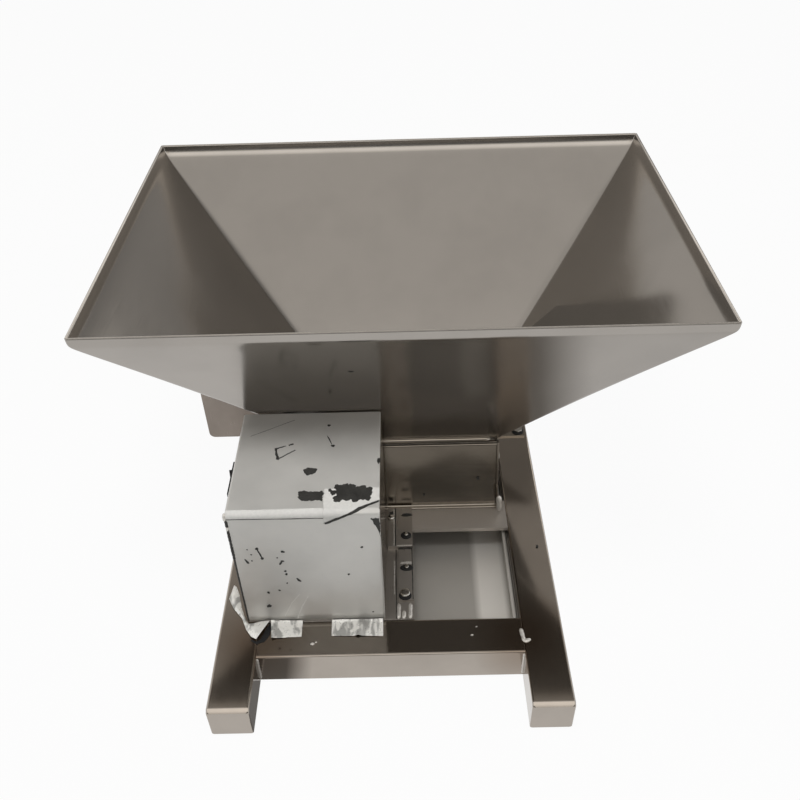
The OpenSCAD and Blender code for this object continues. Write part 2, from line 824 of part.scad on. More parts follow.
module drive_belt() {
  over = flange_over - 0.5;
  color(BLACK_RUBBER) along_x(pulley_mid - belt_w / 2, belt_w) difference() {
    belt_loop(over);
    belt_loop(over - belt_t);
  }
}

// Motor
module motor_shaft() {
  color(BRIGHT_STEEL) bar_x(shaft_left, motor_right - 1 - shaft_left, motor_shaft_r, motor_y, motor_z);
}

module motor_ring(x, l, outer, inner) {
  along_x(x, l) translate([motor_y, motor_z]) difference() {
    circle(outer);
    circle(inner);
  }
}

module motor_rotor() { color(DARK_STEEL) motor_ring(core_left, core_l, rotor_r, motor_shaft_r); }
module motor_stator() { color(COPPER) motor_ring(core_left, core_l, stator_out - seat_fit, rotor_r + rotor_gap); }

module motor_housing() {
  color(MOTOR_GREY) motor_ring(motor_left + bell_t, motor_l - 2 * bell_t, motor_r, stator_out);
}

module motor_end_bells() {
  color(MOTOR_GREY) for (x = [motor_left, motor_right - bell_t])
    motor_ring(x, bell_t, motor_r, motor_shaft_r + shaft_fit);
}

module motor_cradle() {
  color(DARK_STEEL) difference() {
    union() {
      translate([cradle_left - cradle_foot_l, motor_y - cradle_half, tube])
        cube([cradle_l + 2 * cradle_foot_l, 2 * cradle_half, cradle_foot_t]);
      translate([cradle_left, motor_y - cradle_half, tube])
        cube([cradle_l, 2 * cradle_half, motor_lift + motor_r * 0.4]);
    }
    bar_x(cradle_left - past, cradle_l + 2 * past, motor_r + 0.1, motor_y, motor_z);
    for (at = motor_bolts_at) bolt_hole(at, tube + cradle_foot_t, cradle_foot_t + past);
  }
}

module motor_bolts() {
  color(BRIGHT_STEEL) for (at = motor_bolts_at) translate([at[0], at[1], tube + cradle_foot_t])
    hex_bolt(bolt_d, head_af, head_h, cradle_foot_t + base_plate_t + 1);
}

// Belt guard: an upright plate with a foot on the left beam
module belt_guard() {
  color(STEEL) difference() {
    union() {
      block([guard_left, guard_front, tube], [guard_left + guard_t, guard_back, guard_top]);
      block([guard_foot_left, guard_front, tube], [guard_foot_right, guard_back, tube + guard_t]);
    }
    for (at = guard_bolts) bolt_hole(at, tube + guard_t, guard_t + past);
  }
}

// Control box: its outer corners are round and its top slopes under the hopper's wall
module box_outline(inset) {
  low = box_z + inset;
  high = box_top - inset;
  left = box_left + inset;
  right = box_right - inset;
  gap = box_gap + inset * 1.4;
  r = box_round - inset;
  slope_z = throat_z + (throat_left - right - gap) / left_slope;
  difference() {
    polygon([[left, low], [right, low], [right, slope_z], [left_wall_at(high) - gap, high], [left, high]]);
    for (z = [low - past, high - r]) translate([left - past, z]) square([r + past, r + past]);
  }
  for (z = [low + r, high - r]) translate([left + r, z]) circle(r);
}

module control_box() {
  color(BOX_GREY) difference() {
    along_y(box_front, box_d) box_outline(0);
    along_y(box_front + box_t, box_d) box_outline(box_t);
    gland_hole();
  }
}

module control_box_lid() {
  color(BOX_GREY) along_y(box_back, lid_t) box_outline(0);
}

module capacitor() {
  color(BLACK_PLASTIC) translate([(box_left + box_right) / 2, box_front + box_t, box_z + box_t + capacitor_r + 0.1])
    rotate([-90, 0, 0]) cylinder(h = capacitor_l, r = capacitor_r);
}

module gland_hole() {
  translate([gland_at[0], gland_at[1], box_z - past]) cylinder(h = box_t + 2 * past, r = gland_r + bolt_fit);
}

module cable_gland() {
  below = 16;
  nut = 6;
  lead_r = 4;
  color(BLACK_PLASTIC) translate([gland_at[0], gland_at[1], box_z]) difference() {
    union() {
      translate([0, 0, -nut]) cylinder(h = nut, r = gland_r * 1.5, $fn = 6);
      translate([0, 0, -below]) cylinder(h = below + box_t + 4, r = gland_r);
    }
    translate([0, 0, -below - past]) cylinder(h = below + box_t + 4 + 2 * past, r = lead_r);
  }
}

// Motor cover, open below and cut for the belt and for the switch
module motor_cover() {
  cut_l = switch_in_l + switch_body + switch_clear;
  cut_h = switch_in_h + switch_body + switch_clear;
  color(FILM_GREY) difference() {
    block([cover_left, cover_front, tube], [cover_right, cover_back, cover_top]);
    block([cover_left + cover_t, cover_front + cover_t, tube - past],
          [cover_right - cover_t, cover_back - cover_t, cover_top - cover_t]);
    block([pulley_left - door_margin, cover_back - cover_t - past, belt_mid_z - belt_door_half],
          [pulley_right + door_margin, cover_back + past, belt_mid_z + belt_door_half]);
    translate([cover_left - past, switch_y - cut_l, switch_z - cut_h])
      cube([cover_t + 2 * past, 2 * cut_l, 2 * cut_h]);
  }
}

module switch_housing() {
  rim_t = 2;
  color(BLACK_PLASTIC) translate([cover_left, switch_y, switch_z]) difference() {
    union() {
      translate([-rim_t, -switch_l / 2, -switch_h / 2]) cube([rim_t, switch_l, switch_h]);
      translate([-rim_t / 2, -switch_in_l - switch_body, -switch_in_h - switch_body])
        cube([switch_deep + rim_t / 2, 2 * (switch_in_l + switch_body), 2 * (switch_in_h + switch_body)]);
    }
    translate([-rim_t - past, -switch_in_l, -switch_in_h])
      cube([switch_deep + rim_t + past - switch_body, 2 * switch_in_l, 2 * switch_in_h]);
    translate([rocker_x - cover_left, 0, -switch_h]) cylinder(h = 2 * switch_h, r = trunnion_r + shaft_fit);
  }
}

// Rocker, drawn in its off position with the rear end standing out
module switch_rocker() {
  half_l = switch_in_l - rocker_gap;
  half_h = switch_in_h - 0.3;
  proud = 7;
  dip = 5;
  edge = 4;
  heel = 3;
  heel_half = half_l * 0.51;
  pin = half_h + 1.6;
  color(BLACK_PLASTIC) translate([rocker_x, switch_y, switch_z]) rotate([0, 0, rocker_tilt]) {
    translate([0, 0, -half_h]) linear_extrude(2 * half_h)
      polygon([[-proud, -half_l], [-dip, 0], [-proud, half_l], [-edge, half_l],
               [heel, heel_half], [heel, -heel_half], [-edge, -half_l]]);
    translate([0, 0, -pin]) cylinder(h = 2 * pin, r = trunnion_r);
  }
}

// Crumb drawer with a hem folded inward round its rim
module crumb_tray() {
  color(BRIGHT_STEEL) difference() {
    block([tray_left, tray_front, tray_z], [tray_right, tray_back, tray_top]);
    block([tray_left + tray_t, tray_front + tray_t, tray_z + tray_t],
          [tray_right - tray_t, tray_back - tray_t, tray_top - tray_t]);
    block([tray_left + tray_t + hem_w, tray_front + tray_t + hem_w, tray_z + tray_t],
          [tray_right - tray_t - hem_w, tray_back - tray_t - hem_w, tray_top + past]);
  }
}

module tray_pull() {
  low = pull_z;
  color(STEEL) {
    block([pull_mid - pull_w / 2, tray_back + pull_d - pull_t, low],
          [pull_mid + pull_w / 2, tray_back + pull_d, low + pull_h]);
    for (side = [-1, 1]) {
      translate([pull_mid + side * (pull_w - pull_t) / 2 - pull_t / 2, tray_back, low])
        cube([pull_t, pull_d, pull_h]);
      translate([pull_mid + side * (pull_w + pull_foot - pull_t) / 2 - pull_foot / 2, tray_back, low])
        cube([pull_foot, pull_t, pull_h]);
    }
  }
}

// Runners that carry the drawer: one under the bars, one on the right beam
module left_runner() {
  hang_w = 15;
  color(STEEL) {
    block([left_web, runner_front, runner_z], [left_web + runner_t, runner_front + runner_l, bar_z]);
    block([left_web, runner_front, runner_z], [left_web + runner_t + ledge_w, runner_front + runner_l, ledge_z]);
    block([left_web - hang_w, runner_front, bar_z - runner_t], [left_web + runner_t, runner_front + runner_l, bar_z]);
  }
}

module right_runner() {
  web_top = tray_top - 2;
  color(STEEL) {
    block([right_in - runner_t, runner_front, runner_z], [right_in, runner_front + runner_l, web_top]);
    block([right_in - runner_t - ledge_w, runner_front, runner_z], [right_in, runner_front + runner_l, ledge_z]);
  }
}

left_beam();
right_beam();
front_cross_tube();
middle_cross_bar();
rear_cross_bar();
beam_end_caps();
motor_base_plate();
mounting_rail();
clamp_plate();
stop_plate();
rail_bolts();
hopper_front_wall();
hopper_rear_wall();
hopper_left_wall();
hopper_right_wall();
hopper_bolts();
left_side_plate();
right_side_plate();
front_panel();
rear_panel();
foot_bolts();
crumb_screen();
shear_comb();
drum_shaft();
toothed_discs();
spacer_rings();
left_bearing_hub();
right_bearing_hub();
drum_bearings();
hub_bolts();
drum_pulley();
drive_belt();
motor_pulley();
motor_shaft();
motor_rotor();
motor_stator();
motor_housing();
motor_end_bells();
motor_cradle();
motor_bolts();
belt_guard();
control_box();
control_box_lid();
capacitor();
cable_gland();
motor_cover();
switch_housing();
switch_rocker();
crumb_tray();
tray_pull();
left_runner();
right_runner();
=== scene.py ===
"""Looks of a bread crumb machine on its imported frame: folded hopper, square tubes, welds, film and foil."""
import json
import math

import bmesh
import bpy
import numpy as np
from mathutils import Matrix, Vector

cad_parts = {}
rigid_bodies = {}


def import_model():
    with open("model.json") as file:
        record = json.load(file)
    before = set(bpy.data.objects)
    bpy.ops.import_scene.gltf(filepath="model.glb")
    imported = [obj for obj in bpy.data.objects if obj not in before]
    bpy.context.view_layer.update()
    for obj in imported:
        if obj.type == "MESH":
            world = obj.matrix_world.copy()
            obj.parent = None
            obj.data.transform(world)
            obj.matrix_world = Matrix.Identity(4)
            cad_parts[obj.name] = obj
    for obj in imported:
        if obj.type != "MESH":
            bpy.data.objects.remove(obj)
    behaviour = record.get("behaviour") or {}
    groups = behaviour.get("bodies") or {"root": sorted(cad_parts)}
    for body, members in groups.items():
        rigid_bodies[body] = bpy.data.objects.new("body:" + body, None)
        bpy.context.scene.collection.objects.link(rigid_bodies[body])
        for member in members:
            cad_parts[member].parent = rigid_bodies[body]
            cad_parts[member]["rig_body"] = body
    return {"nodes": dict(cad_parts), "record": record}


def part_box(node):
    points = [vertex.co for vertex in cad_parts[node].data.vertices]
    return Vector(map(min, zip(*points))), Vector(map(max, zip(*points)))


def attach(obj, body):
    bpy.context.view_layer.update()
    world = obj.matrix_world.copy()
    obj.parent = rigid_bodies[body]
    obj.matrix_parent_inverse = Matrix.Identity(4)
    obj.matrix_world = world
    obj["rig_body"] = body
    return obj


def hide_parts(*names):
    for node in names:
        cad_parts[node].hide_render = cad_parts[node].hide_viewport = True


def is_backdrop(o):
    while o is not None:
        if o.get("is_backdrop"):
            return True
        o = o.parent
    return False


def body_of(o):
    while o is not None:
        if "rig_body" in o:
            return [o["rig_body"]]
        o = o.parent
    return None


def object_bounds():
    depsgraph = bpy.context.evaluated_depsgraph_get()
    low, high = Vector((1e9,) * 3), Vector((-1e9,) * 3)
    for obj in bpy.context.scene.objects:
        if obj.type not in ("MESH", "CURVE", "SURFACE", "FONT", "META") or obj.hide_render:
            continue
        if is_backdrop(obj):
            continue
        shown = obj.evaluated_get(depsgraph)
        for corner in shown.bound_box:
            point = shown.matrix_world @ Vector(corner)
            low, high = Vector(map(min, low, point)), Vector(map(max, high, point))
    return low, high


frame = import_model()

bl_info = {
    "name": "Bread Crumb Machine",
    "version": (1, 0, 0),
    "blender": (4, 5, 0),
    "location": "View3D > Sidebar > Crumb Machine",
    "description": "Builds the looks of a bread crumb machine round its packed frame",
    "category": "Add Mesh",
}

MM = 0.001
CAD_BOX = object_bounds()
NODES = frame["nodes"]
SLOTS = {row["node"]: row["material_slot"] for row in frame["record"]["subparts"]}
HOPPER_WALLS = ("hopper_front_wall", "hopper_rear_wall", "hopper_left_wall", "hopper_right_wall")
PHOTO_SIDE = 800.0  # pixels
SENSOR = 36.0  # millimetres
MERGE = 0.002 * MM  # points that are closer become one
CLOSE = 0.15 * MM  # a row this close to an end keeps the flat beside it shading flat
PHASE = 6.28  # radians: random phases lie below this, close to a full turn
UP = (0.0, 0.0, 1.0)
AHEAD = (0.0, -1.0, 0.0)


# Sizes and colours that a user would change

def linear(code):
    """An sRGB hex colour as linear red, green, blue and alpha, by the sRGB curve."""
    shown = np.array([int(code[i:i + 2], 16) for i in (1, 3, 5)]) / 255.0
    light = np.where(shown <= 0.04045, shown / 12.92, ((shown + 0.055) / 1.055) ** 2.4)
    return (*light.tolist(), 1.0)


def size(label, note, millimetres):
    """A length that is written in millimetres and kept in metres."""
    return bpy.props.FloatProperty(
        name=label, description=note, default=millimetres * MM, min=0.0, precision=5, unit="LENGTH")


def tone(label, note, code):
    """A colour that is written as sRGB hex and kept as linear values."""
    return bpy.props.FloatVectorProperty(
        name=label, description=note, default=linear(code), size=4, min=0.0, max=1.0, subtype="COLOR")


def number(label, note, default, **kind):
    """A power, an angle or a plain number."""
    return bpy.props.FloatProperty(name=label, description=note, default=default, **kind)


class HopperSettings(bpy.types.PropertyGroup):
    rim_corner: size("Rim corner", "Radius of the hopper's upright corners at its rim", 2.6)
    throat_corner: size("Throat corner", "Radius of the corners at the throat", 4.0)
    wall: size("Folded edge", "Thickness of the sheet where its rim is folded", 2.2)
    lip: size("Lip", "Height of the upright lip round the rim", 9.0)
    spigot: size("Spigot", "Height of the upright throat under the slopes", 10.0)
    fold: size("Corner fold", "How much rounder the corners are half way up", 7.0)
    bend: size("Bend", "How softly the sheet bends at the lip and the throat", 3.0)
    inner_bend: size("Inner bend", "How softly it bends inside the lip", 7.0)
    bow: size("Bow", "How far a wall bows between its folds", 0.8)
    steel: tone("Steel", "Colour of the hopper's sheet", "#a29d97")


class BaseSettings(bpy.types.PropertyGroup):
    corner: size("Tube corner", "Radius of the tubes' long edges", 2.2)
    end: size("Tube end", "Depth of the chamfer on top of the beams' closed ends", 4.0)
    end_drop: size("Tube end drop", "How far the chamfer falls", 3.6)
    end_edge: size("End edge", "Radius of the other edges of the closed ends", 1.2)
    bead: size("Weld bead", "Half width of a weld bead", 2.6)
    ripple: size("Bead ripple", "Distance from one ripple of a bead to the next", 2.4)
    steel: tone("Tube steel", "Colour of the square tube", "#a69e95")
    bar: tone("Bar steel", "Colour of the flat bars and plates", "#a7a19a")
    weld: tone("Weld metal", "Colour of the weld beads", "#d9d5ce")


class CoverSettings(bpy.types.PropertyGroup):
    fold: size("Front fold", "Radius of the fold between the cover's top and its front", 6.0)
    edge: size("Edge", "Radius of the cover's other edges", 2.0)
    sheet: size("Sheet", "Thickness of the cover's sheet", 1.2)
    film: tone("Film", "Colour of the protective film", "#d2d0cb")
    # The colour of the torn film also paints the highlight along the front fold
    torn: tone("Torn film", "Colour of the film where it is torn and lifted", "#e3e1dc")
    # The colour of the old adhesive also paints shade in the rail's gaps and down the cover's front left edge
    residue_and_shade: tone("Residue", "Colour of the old adhesive on the film", "#383734")
    foil: tone("Foil", "Colour of the foil tabs", "#f0eee8")


class ChamberSettings(bpy.types.PropertyGroup):
    fold: size("Fold", "Radius of the front panel's folds", 2.0)
    sheet: size("Sheet", "Thickness of the front panel", 1.5)
    foot: size("Foot", "Depth of the panel's foot flange", 5.0)
    lip: size("Lip", "Depth of the panel's top lip", 4.0)
    dent: size("Dent", "Depth of the hollows in the front panel", 0.5)
    steel: tone("Steel", "Colour of the chamber's sheet", "#9c958b")


class DrawerSettings(bpy.types.PropertyGroup):
    corner: size("Corner", "Radius of the drawer's upright corners", 3.0)
    bend: size("Bend", "Radius between the drawer's floor and its sides", 2.0)
    hem: size("Hem", "Width of the hem that is folded inward round the rim", 3.0)
    sheet: size("Sheet", "Thickness of the drawer's sheet", 1.2)
    steel: tone("Steel", "Colour of the drawer's sheet", "#b6b2ab")
    # The lane of painted sheen on the drawer's floor takes this colour
    rubbed: tone("Rubbed steel", "Colour of the lane that is rubbed bright", "#f0ece5")


class FittingSettings(bpy.types.PropertyGroup):
    edge: size("Edge", "Width of the broken edges on plates, bolts and castings", 0.5)
    box: tone("Box", "Colour of the control box", "#8a8179")
    bolt: tone("Bolts", "Colour of the plated bolts", "#c3c1bc")
    turned: tone("Turned steel", "Colour of the shaft, discs and bearings", "#a7a5a1")
    cast: tone("Cast iron", "Colour of the hubs and pulleys", "#5d5b59")
    enamel: tone("Enamel", "Colour of the motor's paint", "#5f666b")
    copper: tone("Copper", "Colour of the windings", "#a4552f")
    rubber: tone("Rubber", "Colour of the belt", "#1b1b1c")
    plastic: tone("Plastic", "Colour of the switch and the other moulded parts", "#141415")


class StageSettings(bpy.types.PropertyGroup):
    floor: tone("Floor", "Colour of the floor", "#d2d2d1")
    key: number("Key light", "Power of the soft lamp overhead", 38.0, unit="POWER")
    fill: number("Fill light", "Power of the soft lamp at the right", 5.0, unit="POWER")
    ambient: number("Ambient", "Strength of the even light from all round", 0.28)
    place: bpy.props.FloatVectorProperty(
        name="Camera", description="Where the camera stands", default=(2.4 * MM, -695.3 * MM, 750.7 * MM),
        size=3, subtype="TRANSLATION", unit="LENGTH")
    pitch: number("Pitch", "How far the camera looks down", math.radians(40.045), subtype="ANGLE")
    yaw: number("Yaw", "How far the camera turns to the right", math.radians(-0.589), subtype="ANGLE")
    roll: number("Roll", "How far the camera tips sideways", math.radians(1.730), subtype="ANGLE")
    focal: number("Focal length", "Focal length in photo pixels", 843.35)


# Surfaces

def corners(node):
    """A CAD node's lowest and highest corner at rest, as two arrays in metres."""
    lo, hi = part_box(node)
    return np.array(lo), np.array(hi)


def grid_faces(rows, columns):
    """Quads of a grid: each joins a point, its right neighbour and the two points of the next row."""
    i, j = np.meshgrid(np.arange(rows - 1), np.arange(columns - 1), indexing="ij")
    first = i * columns + j
    return np.stack([first, first + 1, first + columns + 1, first + columns], -1).reshape(-1, 4)


def grid_of(x, y, z):
    """A grid of points from its coordinates, each spread over the rows or columns where it is level."""
    return np.stack(np.broadcast_arrays(x, y, z), -1)


def dress(name, mesh, finish, body, slot, replaced):
    """Makes a mesh a smooth piece with its finish, which rides on a body and stands for the CAD nodes it
    replaces."""
    mesh.polygons.foreach_set("use_smooth", np.ones(len(mesh.polygons), bool))
    mesh.materials.clear()
    mesh.materials.append(finish_of(finish))
    piece = bpy.data.objects.new(name, mesh)
    bpy.context.scene.collection.objects.link(piece)
    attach(piece, body)
    if replaced:
        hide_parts(*replaced)
    return piece


def new_piece(name, grids, slot, replaced=(), body="frame", finish=None, keep=None, facing=None, sheet=None):
    """Makes one object from grids of points, merges its doubles and turns its faces outwards. Its finish is
    the slot's unless it is named; keep picks faces by their middle, facing is the side that an open skin
    shows, and sheet is its UV in metres."""
    points = np.concatenate([grid.reshape(-1, 3) for grid in grids])
    counts = [grid.shape[0] * grid.shape[1] for grid in grids]
    starts = np.cumsum([0] + counts[:-1])
    faces = np.concatenate([grid_faces(*grid.shape[:2]) + start for grid, start in zip(grids, starts)])
    if keep is not None:
        faces = faces[keep(points[faces].mean(1))]
    mesh = bpy.data.meshes.new(name)
    mesh.from_pydata(points, [], faces)
    if sheet is not None:
        layer = mesh.uv_layers.new(name="sheet")
        layer.data.foreach_set("uv", sheet.reshape(-1, 2)[faces.ravel()].ravel())
    work = bmesh.new()
    work.from_mesh(mesh)
    bmesh.ops.remove_doubles(work, verts=work.verts, dist=MERGE)
    if facing is None:
        bmesh.ops.recalc_face_normals(work, faces=work.faces)
    else:
        work.normal_update()
        away = [face for face in work.faces if face.normal.dot(Vector(facing)) < 0]
        bmesh.ops.reverse_faces(work, faces=away)
    work.to_mesh(mesh)
    work.free()
    return dress(name, mesh, finish or slot, body, slot, replaced)


def thicken(piece, thickness, offset):
    """Gives an open skin its thickness: inwards at an offset of -1, outwards at 1."""
    sheet = piece.modifiers.new("Sheet", "SOLIDIFY")
    sheet.thickness = thickness
    sheet.offset = offset


def run_along(path):
    """The distance along a path at each of its points, from 0."""
    return np.concatenate([[0.0], np.cumsum(np.linalg.norm(np.diff(path, axis=0), axis=1))])


def rounded_path(points, radius, steps=6, lead=0.4 * MM):
    """A polyline whose inner corners become arcs of the radius. An arc is its centre plus the start and end
    spokes mixed by sines of the turn; a point close to each end of an arc keeps the flats between them
    shading flat."""
    points = np.asarray(points, float)
    parts = [points[:1]]
    share = np.linspace(0.0, 1.0, steps + 1)[:, None]
    for before, at, after in zip(points, points[1:], points[2:]):
        come = (at - before) / np.linalg.norm(at - before)
        go = (after - at) / np.linalg.norm(after - at)
        turn = math.acos(np.clip(come @ go, -1.0, 1.0))
        start = at - come * radius * math.tan(turn / 2)
        end = at + go * radius * math.tan(turn / 2)
        centre = at + (go - come) / np.linalg.norm(go - come) * radius / math.cos(turn / 2)
        spokes = np.sin((1 - share) * turn) * (start - centre) + np.sin(share * turn) * (end - centre)
        parts += [(start - come * lead)[None], centre + spokes / math.sin(turn), (end + go * lead)[None]]
    parts.append(points[-1:])
    return np.concatenate(parts)


def side_shares(extra=(), count=12):
    """Places along one side from 0 to 1, close together at both ends so that the flat between shades
    flat."""
    return np.unique(np.concatenate([np.linspace(0.0, 1.0, count + 1), (0.004, 0.996), extra]))


def outline_columns(front, right, back, left, steps=6):
    """Columns of a rounded rectangle, counter-clockwise from the front left and closed by its first column.
    Each has a share across (0 left, 1 right), a share along (0 front, 1 back) and a unit direction
    outwards: on a side the share moves and the direction stays, at a corner the direction turns by a right
    angle."""
    sides = ((front, 0 * front), (0 * right + 1, right), (back[::-1], 0 * back + 1), (0 * left, left[::-1]))
    parts = []
    for turn, (across, along) in enumerate(sides):
        angle = (turn - 1) * math.pi / 2
        sweep = angle + np.linspace(0.0, math.pi / 2, steps + 1)[1:-1]
        level = np.full_like(across, angle)
        parts.append(np.stack([across, along, np.cos(level), np.sin(level)]))
        parts.append(np.stack([0 * sweep + across[-1], 0 * sweep + along[-1], np.cos(sweep), np.sin(sweep)]))
    ring = np.concatenate(parts, 1)
    return np.concatenate([ring, ring[:, :1]], 1)


def even_ring(count=12, steps=6):
    """Columns of a rounded rectangle whose four sides are divided alike."""
    return outline_columns(*[side_shares(count=count)] * 4, steps=steps)


def ring_surface(ring, left, right, front, back, radius, height):
    """Rows of a rounded rectangle, each with its own bounds, corner radius and height. x is the left and
    right corner centres mixed by the share across, plus the radius times the direction outwards; y is the
    same from front to back; z is the row's height."""
    across, along, out_x, out_y = ring
    rows = [np.asarray(value, float).reshape(-1, 1) for value in (left, right, front, back, radius, height)]
    left, right, front, back, radius, height = rows
    x = (left + radius) * (1 - across) + (right - radius) * across + radius * out_x
    y = (front + radius) * (1 - along) + (back - radius) * along + radius * out_y
    return grid_of(x, y, height)


def quarter(radius, depth):
    """How far an edge that is rounded by a quarter circle draws in at a depth under its face."""
    return radius - np.sqrt(radius ** 2 - np.clip(radius - depth, 0.0, radius) ** 2)


def drawn_in(bounds, middle, share):
    """Two pairs of bounds, each bound drawn towards the middle of its pair by the row's share."""
    return [centre + (bound - centre) * share for bound, centre in zip(bounds, np.repeat(middle, 2))]


def tube_surface(lo, hi, axis, near, far, corner):
    """A square tube along one axis: a rounded square is carried from near to far, drawn in to its middle at
    both closed ends, with a row close to each."""
    a, b = [k for k in range(3) if k != axis]
    half = (hi[a] - lo[a]) / 2
    inset = np.array([half, 0.0, 0.0, 0.0, 0.0, half])
    place = np.array([near, near, near + CLOSE, far - CLOSE, far, far])
    radius = np.minimum(corner, half - inset)
    bounds = (lo[a] + inset, hi[a] - inset, lo[b] + inset, hi[b] - inset)
    grid = ring_surface(even_ring(4), *bounds, radius, place)
    return grid[..., np.argsort([a, b, axis])]


def bead_surface(path, half_width, ripple, normal):
    """A weld bead: a flattened circle carried along the path. Its radius swells with each ripple, by the
    size of a sine, and falls to nothing at both ends."""
    path = np.asarray(path, float)
    run = run_along(path)
    at = np.linspace(0.0, run[-1], max(int(run[-1] / ripple * 7), 16))
    centre = np.stack([np.interp(at, run, path[:, k]) for k in range(3)], -1)
    ahead = np.gradient(centre, axis=0)
    ahead /= np.linalg.norm(ahead, axis=1)[:, None]
    side = np.cross(ahead, normal)
    side /= np.linalg.norm(side, axis=1)[:, None]
    up = np.cross(side, ahead)
    plain, hump, drift = 0.88, 0.2, 0.06  # shares of the half width
    swell = plain + hump * np.abs(np.sin(math.pi * at / ripple)) + drift * np.sin(at / ripple * 1.7)
    taper = 1.4 * half_width
    fall = np.sqrt(np.clip(np.minimum(at, run[-1] - at) / taper, 0.0, 1.0))
    radius = (half_width * swell * fall)[:, None, None]
    turn = np.linspace(0.0, 2 * math.pi, 15)[None, :, None]
    flattened = 0.75 * np.sin(turn)
    return centre[:, None] + radius * (np.cos(turn) * side[:, None] + flattened * up[:, None])


def turned_surface(middle, profile, stretch=(1.0, 1.0)):
    """A turned shape: a profile of radius and height, in millimetres, carried round an upright axis;
    stretch makes it oval."""
    turn = np.linspace(0.0, 2 * math.pi, 41)[:, None]
    radius, height = (np.asarray(profile, float).T * MM)[:, None, :]
    x = middle[0] + stretch[0] * radius * np.cos(turn)
    y = middle[1] + stretch[1] * radius * np.sin(turn)
    return grid_of(x, y, middle[2] + height)


def four_cornered(four, u, v):
    """Points mixed between four corners that run round: by u along the first side, by v to the opposite
    one."""
    a, b, c, d = np.asarray(four, float)
    return (1 - v) * ((1 - u) * a + u * b) + v * ((1 - u) * d + u * c)


def patch(place, four, ragged=0.4, seed=1, lift=0.12, count=30):
    """A four cornered mark: points are mixed between the corners, and each edge wanders by a few sines that
    fade towards the middle. Corners run round it, in millimetres on the face that place lays them on."""
    rng = np.random.default_rng(seed)
    u = np.linspace(0.0, 1.0, count)[None, :, None]
    v = np.linspace(0.0, 1.0, count)[:, None, None]
    flat = four_cornered(four, u, v)
    side_u, side_v = 2 * u - 1, 2 * v - 1
    along_u, along_v = 0 * u, 0 * v
    for k in (3, 5, 9, 15):
        phase = rng.uniform(0.0, PHASE, 4)
        along_v = along_v + np.sin(k * 3.1 * v + np.where(u > 0.5, phase[0], phase[1])) / math.sqrt(k)
        along_u = along_u + np.sin(k * 3.1 * u + np.where(v > 0.5, phase[2], phase[3])) / math.sqrt(k)
    x = flat[..., 0] + ragged * (side_u ** 5 * along_v)[..., 0]
    y = flat[..., 1] + ragged * (side_v ** 5 * along_u)[..., 0]
    rim = np.maximum(np.abs(side_u), np.abs(side_v))[..., 0]
    return place(x * MM, y * MM, lift * (1 - 0.7 * rim ** 6) * MM)


def strip(place, left, right, front, back, ragged, seed):
    """A narrow straight mark, by its bounds in millimetres on a level face."""
    return patch(place, ((left, front), (right, front), (right, back), (left, back)), ragged, seed)


def blot(place, across, over, long, wide, angle=0.0, ragged=0.2, seed=1, lift=0.12):
    """A flat mark: rings of an ellipse whose edge wanders by a few sines, laid on a face, thin at its edge.
    Places and sizes are in millimetres; angle is in degrees, from across towards over."""
    rng = np.random.default_rng(seed)
    turn = np.linspace(0.0, 2 * math.pi, 49)[None, :]
    edge = 1.0
    for k in (2, 3, 5, 8):
        edge = edge + ragged / math.sqrt(k) * np.sin(k * turn + rng.uniform(0.0, PHASE))
    reach = np.array([0.0, 0.3, 0.6, 0.85, 1.0])[:, None] * edge
    tip = math.radians(angle)
    u, v = reach * np.cos(turn) * long / 2, reach * np.sin(turn) * wide / 2
    x = across + u * math.cos(tip) - v * math.sin(tip)
    y = over + u * math.sin(tip) + v * math.cos(tip)
    height = lift * (1 - 0.6 * np.array([0.0, 0.0, 0.1, 0.5, 1.0]))[:, None] + 0 * turn
    return place(x * MM, y * MM, height * MM)


def creases(u, v, fold, seed):
    """Heights of crumpled foil from 0 to 1: folded waves, each rising and falling straight between its
    creases, in several directions, averaged; fold is the distance between creases in metres."""
    rng = np.random.default_rng(seed)
    total = 0 * (u + v)
    weights = (1.0, 0.7, 0.5, 0.35)
    for k, weight in enumerate(weights):
        angle = rng.uniform(0.0, math.pi)
        phase = rng.uniform(0.0, 1.0)
        wave = (u * math.cos(angle) + v * math.sin(angle)) * (0.6 + 0.5 * k) / fold + phase
        total = total + weight * np.abs(2 * (wave % 1.0) - 1)
    return total / sum(weights)


def ribbon(left, right, count):
    """A strip mixed between two edges, each a line of places in millimetres: its grid in metres, and its
    shares along and across."""
    knots = np.linspace(0.0, 1.0, len(left))
    along = np.linspace(0.0, 1.0, count)
    first, last = [np.stack([np.interp(along, knots, line) for line in np.transpose(edge)], -1)[:, None]
                   for edge in (left, right)]
    across = np.linspace(0.0, 1.0, 24)[None, :, None]
    return (first * (1 - across) + last * across) * MM, along[:, None], across[..., 0]


# Materials

SMUDGE = 75.0  # millimetres: the width of a hand's smudge on steel
SHEEN_LANE_MIDDLE = 89.0 * MM  # across, of the lane of painted sheen in the drawer
SHEEN_LANE_HALF = 16.0 * MM  # half its width


def connect(tree, node, inputs):
    """Sets a node's inputs: a socket is linked, anything else becomes the input's own value."""
    for key, value in inputs.items():
        if isinstance(value, bpy.types.NodeSocket):
            tree.links.new(value, node.inputs[key])
        else:
            node.inputs[key].default_value = value


def add(tree, kind, inputs=None, out=0, **settings):
    """Adds one shader node with its settings and links, and gives one of its outputs."""
    node = tree.nodes.new("ShaderNode" + kind)
    for key, value in settings.items():
        setattr(node, key, value)
    connect(tree, node, inputs or {})
    return node.outputs[out]


def per_size(millimetres):
    """Scale of a noise whose lumps are this long, on coordinates in metres."""
    return 1.0 / (millimetres * MM)


def shade(colour, share):
    """A colour times a share, its alpha kept."""
    return (*[channel * share for channel in colour[:3]], 1.0)


def new_material(name):
    """An empty node material with its tree, its shader and the object's own coordinates."""
    material = bpy.data.materials.new(name)
    material.use_nodes = True
    tree = material.node_tree
    return material, tree, tree.nodes["Principled BSDF"], add(tree, "TexCoord", out="Object")


